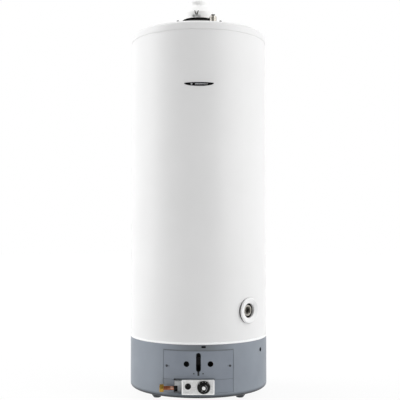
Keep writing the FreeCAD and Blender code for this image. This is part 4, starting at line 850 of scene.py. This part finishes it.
def badge_plate():
    """Lens-shaped plate bent to the jacket, with a raised rim and a plain foil ornament."""
    low, high, middle = span("badge_plate")
    half = (high.x - low.x) / 2
    tip_z = 1100.8
    base_r = JACKET_R + 0.05
    wall = 0.9
    slices = 34
    plate = bmesh.new()
    bmesh.ops.create_circle(plate, cap_ends=True, segments=160, radius=half)
    upper = [v for v in plate.verts if v.co.y > 1e-4]
    lower = [v for v in plate.verts if v.co.y < -1e-4]
    bmesh.ops.scale(plate, verts=upper, vec=(1, (high.z - tip_z) / half, 1))
    bmesh.ops.scale(plate, verts=lower, vec=(1, (tip_z - low.z) / half, 1))
    raised = bmesh.ops.extrude_face_region(plate, geom=plate.faces[:])
    top = [part for part in raised["geom"] if isinstance(part, bmesh.types.BMVert)]
    bmesh.ops.translate(plate, verts=top, vec=(0, 0, wall))
    bmesh.ops.recalc_face_normals(plate, faces=plate.faces)
    for thickness, depth in ((0.45, 0), (0.15, -0.2)):
        field = max((f for f in plate.faces if f.normal.z > 0.9), key=lambda f: f.calc_area())
        bmesh.ops.inset_region(plate, faces=[field], thickness=thickness, depth=depth)
    for step in range(1, slices):
        bmesh.ops.bisect_plane(
            plate, geom=plate.verts[:] + plate.edges[:] + plate.faces[:],
            plane_co=(half * (2 * step / slices - 1), 0, 0), plane_no=(1, 0, 0),
        )
    plate = wrapped(plate, middle.x, tip_z, base_r)
    finished(plate, "badge_lens", "appliance", "badge", ("badge_plate",), 25)

    thick, row_y, row_z = 0.28, -3.4, wall - 0.22
    ribs, first_x, pitch = 18, -12.5, 2.45
    rib_x, rib_y, taper = 0.75, 2.7, 0.08
    foil = []
    for i in range(ribs):
        reach = rib_y - taper * i
        rib = softened(box((-rib_x, -reach, 0), (rib_x, reach, thick)), 0.1, 1)
        foil.append(shifted(rib, (first_x + pitch * i, row_y, row_z)))
    diamond_r, diamond_x = 3.6, -25.5
    foil.append(softened(shifted(rod(diamond_r, thick, 4), (diamond_x, row_y, row_z)), 0.1, 1))
    finished(
        wrapped(joined(foil), middle.x, tip_z, base_r), "badge_ornament", "appliance",
        "sensor_alloy", material=SILVER_FOIL,
    )


badge_plate()


# ---------------------------------------------------------------- controls

def cover_plate():
    """Pressed cover: rounded folded edges around a face that is set back a little."""
    low, high, middle = span("valve_front_plate")
    corner_r, fold_r = 3.0, 2.8
    bm = box(low, high)
    upright = [e for e in bm.edges if abs(e.verts[0].co.y - e.verts[1].co.y) > 1]
    bmesh.ops.bevel(
        bm, geom=upright, offset=corner_r, affect="EDGES", segments=5, profile=0.5, material=-1
    )
    front = min(bm.faces, key=lambda f: f.calc_center_median().y)
    rim = list(front.edges)
    bmesh.ops.bevel(
        bm, geom=rim, offset=fold_r, affect="EDGES", segments=8, profile=0.5, material=-1
    )
    front = min(bm.faces, key=lambda f: (round(f.calc_center_median().y, 2), -f.calc_area()))
    bmesh.ops.inset_region(bm, faces=[front], thickness=1.2, depth=0)
    bmesh.ops.inset_region(bm, faces=[front], thickness=0.7, depth=-0.5)
    plate = finished(
        bm, "brushed_cover_plate", "appliance", "brushed_plate", ("valve_front_plate",), smooth=19
    )
    # Painted highlight: the folded edges are brighter than the field.
    plate.data.materials.append(HIGHLIGHT_EDGE)
    field = (high - low) / 2 - Vector((4.6, 0, 4.6))
    for face in plate.data.polygons:
        off = face.center / METRE - middle
        face.material_index = 0 if abs(off.x) < field.x and abs(off.z) < field.z else 1


cover_plate()

DIAL_FLANGE = 2.5


def dial():
    """Control knob: dished flange, and a fluted grip with a hollow face."""
    flange_r, depth, back = facing("control_knob")
    grip_r, hollow_r, hollow = 13.0, 6.2, 2.0
    body = turned(rounded([
        (0, 0), (flange_r - 0.5, 0), (flange_r, 0.5), (flange_r, DIAL_FLANGE - 0.8),
        (flange_r - 1.0, DIAL_FLANGE), (grip_r + 1.4, DIAL_FLANGE - 0.3),
        (grip_r + 0.4, DIAL_FLANGE + 0.5), (grip_r - 0.4, depth - 1.4), (grip_r - 1.3, depth),
        (hollow_r + 2.0, depth), (hollow_r + 1.2, depth - 0.7), (hollow_r, depth - 0.7),
        (hollow_r, depth - hollow), (0, depth - hollow),
    ], 0.35, 3), 144)
    count, flute_r, reach = 24, 1.3, grip_r + 0.75
    flutes = []
    for i in range(count):
        angle = TURN * (i + 0.5) / count
        place = (math.sin(angle) * reach, math.cos(angle) * reach, DIAL_FLANGE + 0.15)
        flutes.append(shifted(rod(flute_r, depth, 20), place))
    body = carved(body, joined(flutes))
    finished(aim(body, back, FRONT), "dial_body", "knob", "knob_plastic", ("control_knob",))


dial()


def raised_arc(inner, outer, start, stretch, level, thick=0.12):
    """Thin raised arc about Z, from start over this many degrees, both clockwise from the top."""
    bm = turned(
        [(inner, level), (outer, level), (outer, level + thick), (inner, level + thick)],
        max(3, int(stretch / 4)), math.radians(stretch),
    )
    ends = [e for e in bm.edges if e.is_boundary]
    bmesh.ops.holes_fill(bm, edges=ends, sides=4)
    bmesh.ops.recalc_face_normals(bm, faces=bm.faces)
    return swung(bm, 90 - start - stretch)


def dial_marks():
    """Generic scale: four ticks on the flange and a pointer, with a painted highlight arc on the
    grip's face.
    """
    flange_r, depth, back = facing("control_knob")
    face_r = 11.5
    face_level = depth - 0.03
    tick_level = DIAL_FLANGE - 0.12
    # The light arc on the right of the grip's face is a painted highlight along the grip's rim.
    marks = [raised_arc(face_r - 1.3, face_r, 25, 125, face_level)]
    for start in (-50, -15, 15, 45):
        marks.append(raised_arc(flange_r - 3.4, flange_r - 1.4, start, 7, tick_level, 0.2))
    scale = aim(joined(marks), back, FRONT)
    finished(scale, "dial_scale_and_highlight", "knob", "white_mark", material=GREY_PRINT_AND_HIGHLIGHT)
    pointer = raised_arc(face_r - 2.8, face_r - 0.2, 209, 12, face_level)
    finished(aim(pointer, back, FRONT), "dial_pointer", "knob", "white_mark")


dial_marks()


def dial_cap():
    """White cap in the middle of the dial, with a soft edge and a slightly domed face."""
    radius, depth, back = facing("knob_cap")
    bm = turned([
        (0, 0), (radius, 0), (radius, depth - 0.9), (radius - 0.25, depth - 0.5),
        (radius - 0.9, depth - 0.2), (radius * 0.5, depth - 0.05), (0, depth),
    ], 64)
    finished(aim(bm, back, FRONT), "dial_cap", "knob", "white_mark", ("knob_cap",))


dial_cap()


def igniter():
    """Piezo igniter: a rounded bezel, and a button with a dished face."""
    radius, depth, back = facing("igniter_body")
    bore, bore_depth, flange, barrel = 7.6, 20, 2.0, radius - 1
    bm = turned(rounded([
        (0, 0), (barrel, 0), (barrel, depth - flange), (radius, depth - flange),
        (radius, depth - 0.8), (radius - 1.0, depth), (bore + 0.4, depth), (bore, depth - 0.5),
        (bore, depth - bore_depth), (0, depth - bore_depth),
    ], 0.4, 3), 96)
    finished(aim(bm, back, FRONT), "igniter_bezel", "appliance", "black_plastic", ("igniter_body",))
    radius, depth, back = facing("igniter_button")
    bm = turned([
        (0, 0), (radius, 0), (radius, depth - 1.4), (radius - 0.35, depth - 0.6),
        (radius - 1.1, depth - 0.12), (radius - 1.9, depth), (radius - 2.8, depth - 0.25),
        (radius * 0.4, depth - 0.9), (0, depth - 1.0),
    ], 96)
    finished(
        aim(bm, back, FRONT), "igniter_push_button", "igniter_button", "black_plastic",
        ("igniter_button",),
    )


igniter()


def hexagon(across, length, chamfer):
    """Hexagonal bar about Z from the origin up, with the corners of both ends turned off."""
    corner = across / math.sqrt(3)
    end_r, full_r = corner - 1.6 * chamfer, corner + 0.2
    limit = turned([
        (0, 0), (end_r, 0), (full_r, chamfer), (full_r, length - chamfer), (end_r, length),
        (0, length),
    ], 96)
    return carved(rod(corner, length, 6), limit, "INTERSECT")


def pipework():
    """Union nut with a chamfered mouth, copper pipe with its flared collar, and the gland nut."""
    axis = span("gas_inlet_pipe")[2]
    chamfer = 1.2

    def placed(bm, node, name, body, slot, smooth=35.0):
        foot = (span(node)[0].x, axis.y, axis.z)
        finished(aim(bm, foot, RIGHT), name, body, slot, (node,), smooth)

    def length_of(node):
        low, high, _ = span(node)
        return high.x - low.x

    length = length_of("gas_union_nut")
    thread_r, thread_end, seat_r, seat_end, clear_r = 9.3, 8.5, 9.0, 11.0, 7.05
    bore = turned([
        (0, -1), (thread_r + 1.0, -1), (thread_r, 0.8), (thread_r, thread_end),
        (seat_r, thread_end + 0.1), (seat_r, seat_end), (clear_r, seat_end),
        (clear_r, length + 1), (0, length + 1),
    ], 64)
    nut = softened(carved(hexagon(24.0, length, chamfer), bore), 0.25, 2, 40)
    placed(nut, "gas_union_nut", "union_nut", "gas_nut", "brass_nut", 25)

    length = length_of("gas_inlet_pipe")
    inner, outer, collar_r, collar = 5.75, 6.75, 8.4, 2.0
    pipe = turned(rounded([
        (inner, 0), (collar_r, 0), (collar_r, collar), (outer, collar + 0.3), (outer, length),
        (inner, length),
    ], 0.4, 3), 64)
    placed(pipe, "gas_inlet_pipe", "copper_gas_pipe", "appliance", "copper_pipe")

    hole = turned([(0, -1), (outer + 0.1, -1), (outer + 0.1, 20), (0, 20)], 64)
    gland = carved(hexagon(16.0, length_of("inlet_gland"), chamfer), hole)
    placed(softened(gland, 0.3, 2, 40), "inlet_gland", "gland_nut", "appliance", "black_steel", 25)


pipework()


def panel_screws():
    """Two pan-head screws that stay in the panel."""
    z = span("access_panel_screws")[2].z
    from_middle = 108.0
    parts = []
    for side in (-1, 1):
        turn = math.asin(side * from_middle / SKIRT_R)
        out = Vector((math.sin(turn), -math.cos(turn), 0))
        screw = pan_screw(head_r=4.0, head=2.2, shank_r=1.9, shank=3.1)
        parts.append(aim(screw, out * SKIRT_R + UP * z, out))
    finished(
        joined(parts), "panel_pan_screws", "access_panel", "zinc_screws", ("access_panel_screws",)
    )


panel_screws()


def tapered_feet():
    """Three feet: a broad top, a soft shoulder and a narrow pad."""
    top = span("feet")[1].z
    ring_r = mount("foot_rear")[0].y
    pad_r, shoulder_r, top_r = 12.4, 13.6, 21.8
    pad_z, cone_z = 2.2, 12.6
    parts = []
    for angle in (60, 180, 300):
        foot = turned(rounded([
            (0, 0), (pad_r, 0), (shoulder_r, pad_z), (top_r, cone_z), (top_r, top), (0, top),
        ], 1.0, 4, keep=(4,)), 64)
        turn = math.radians(angle)
        parts.append(shifted(foot, (ring_r * math.sin(turn), -ring_r * math.cos(turn), 0)))
    finished(joined(parts), "tapered_feet", "appliance", "foot_paint", ("feet",))


tapered_feet()


# ---------------------------------------------------------------- studio

def either(tree, first, *others):
    """The largest of several shares."""
    for other in others:
        first = add(
            tree, "ShaderNodeMath", {"operation": "MAXIMUM"}, {0: first, 1: other}
        ).outputs[0]
    return first


def product(tree, first, second):
    """One share times another, or times a number."""
    if isinstance(second, float):
        times = add(tree, "ShaderNodeMath", {"operation": "MULTIPLY", 1: second}, {0: first})
    else:
        times = add(tree, "ShaderNodeMath", {"operation": "MULTIPLY"}, {0: first, 1: second})
    return times.outputs[0]


def white_to_eye(tree, shader_socket, white_share):
    """Mixes a shader with plain white for the rays that see the background itself."""
    path = add(tree, "ShaderNodeLightPath").outputs
    seen = either(
        tree, path["Is Camera Ray"], path["Is Transmission Ray"], path["Is Glossy Ray"]
    )
    share = product(tree, seen, white_share)
    white = add(tree, "ShaderNodeEmission", {"Color": (1, 1, 1, 1), "Strength": 1.03})
    mix = add(
        tree, "ShaderNodeMixShader", links={0: share, 1: shader_socket, 2: white.outputs[0]}
    )
    return mix.outputs[0]


# Brightness of the studio's walls, by degrees from the front towards +X: two tall white
# sides with the brighter one on the left, and a dim room in front of the object.
WALLS = (
    (-180, 0.46), (-150, 0.46), (-130, 0.7), (-108, 4.2), (-92, 3.7), (-78, 2.2), (-62, 1.12),
    (-45, 0.5), (-30, 0.14), (0, 0.14), (28, 0.18), (44, 2.25), (60, 2.25), (80, 1.95),
    (105, 2.0), (130, 0.48), (180, 0.46),
)
WALL_PEAK = max(level for _, level in WALLS)


def studio_walls():
    """White cyclorama: a world that is bright at both sides and white to the eye."""
    world = bpy.data.worlds.new("studio")
    bpy.context.scene.world = world
    world.use_nodes = True
    tree = world.node_tree
    tree.nodes.clear()
    way = add(tree, "ShaderNodeTexCoord")
    axes = add(tree, "ShaderNodeSeparateXYZ", links={0: way.outputs["Generated"]})
    azimuth = add(
        tree, "ShaderNodeMath", {"operation": "ARCTAN2"},
        {0: axes.outputs["X"], 1: product(tree, axes.outputs["Y"], -1.0)},
    )
    share = add(
        tree, "ShaderNodeMapRange", {"From Min": -math.pi, "From Max": math.pi},
        {"Value": azimuth.outputs[0]},
    )
    ramp = add(tree, "ShaderNodeValToRGB", links={0: share.outputs[0]})
    stops = ramp.color_ramp.elements
    while len(stops) < len(WALLS):
        stops.new(0.5)
    for stop, (angle, level) in zip(stops, WALLS):
        stop.position = angle / 360 + 0.5
        stop.color = [level / WALL_PEAK] * 3 + [1.0]
    sky = add(tree, "ShaderNodeBackground", {"Strength": WALL_PEAK}, {"Color": ramp.outputs[0]})
    white = add(tree, "ShaderNodeBackground", {"Color": (1, 1, 1, 1), "Strength": 1.0})
    behind = add(
        tree, "ShaderNodeMath", {"operation": "GREATER_THAN", 1: 0.0}, {0: axes.outputs["Y"]}
    )
    path = add(tree, "ShaderNodeLightPath").outputs
    mirrored = product(tree, path["Is Glossy Ray"], behind.outputs[0])
    shown = either(tree, path["Is Camera Ray"], path["Is Transmission Ray"], mirrored)
    mix = add(
        tree, "ShaderNodeMixShader", links={0: shown, 1: sky.outputs[0], 2: white.outputs[0]}
    )
    add(tree, "ShaderNodeOutputWorld", links={"Surface": mix.outputs[0]})


def studio_floor():
    """Pale round floor, nearly white to the eye, that takes the object's soft shadow."""
    mesh = bpy.data.meshes.new("floor")
    bm = bmesh.new()
    bmesh.ops.create_circle(bm, cap_ends=True, segments=96, radius=14.0)
    bm.to_mesh(mesh)
    bm.free()
    floor = bpy.data.objects.new("floor", mesh)
    bpy.context.scene.collection.objects.link(floor)
    material, tree, shader = blank(
        "pale_studio_floor", Roughness=0.9,
        **{"Base Color": linear("d9d9d9"), "Specular IOR Level": 0.0}
    )
    output = next(n for n in tree.nodes if n.type == "OUTPUT_MATERIAL")
    tree.links.new(white_to_eye(tree, shader.outputs["BSDF"], 0.88), output.inputs["Surface"])
    mesh.materials.append(material)


studio_walls()
studio_floor()

camera = bpy.data.cameras.new("camera")
camera.sensor_width = 36.0
camera.lens = 66.7
eye = bpy.data.objects.new("camera", camera)
eye.location = (0.0053, -2.765, 0.608)
eye.rotation_euler = (math.radians(92.093), 0, 0)
bpy.context.scene.collection.objects.link(eye)
bpy.context.scene.camera = eye
bpy.context.scene.view_settings.view_transform = "Standard"
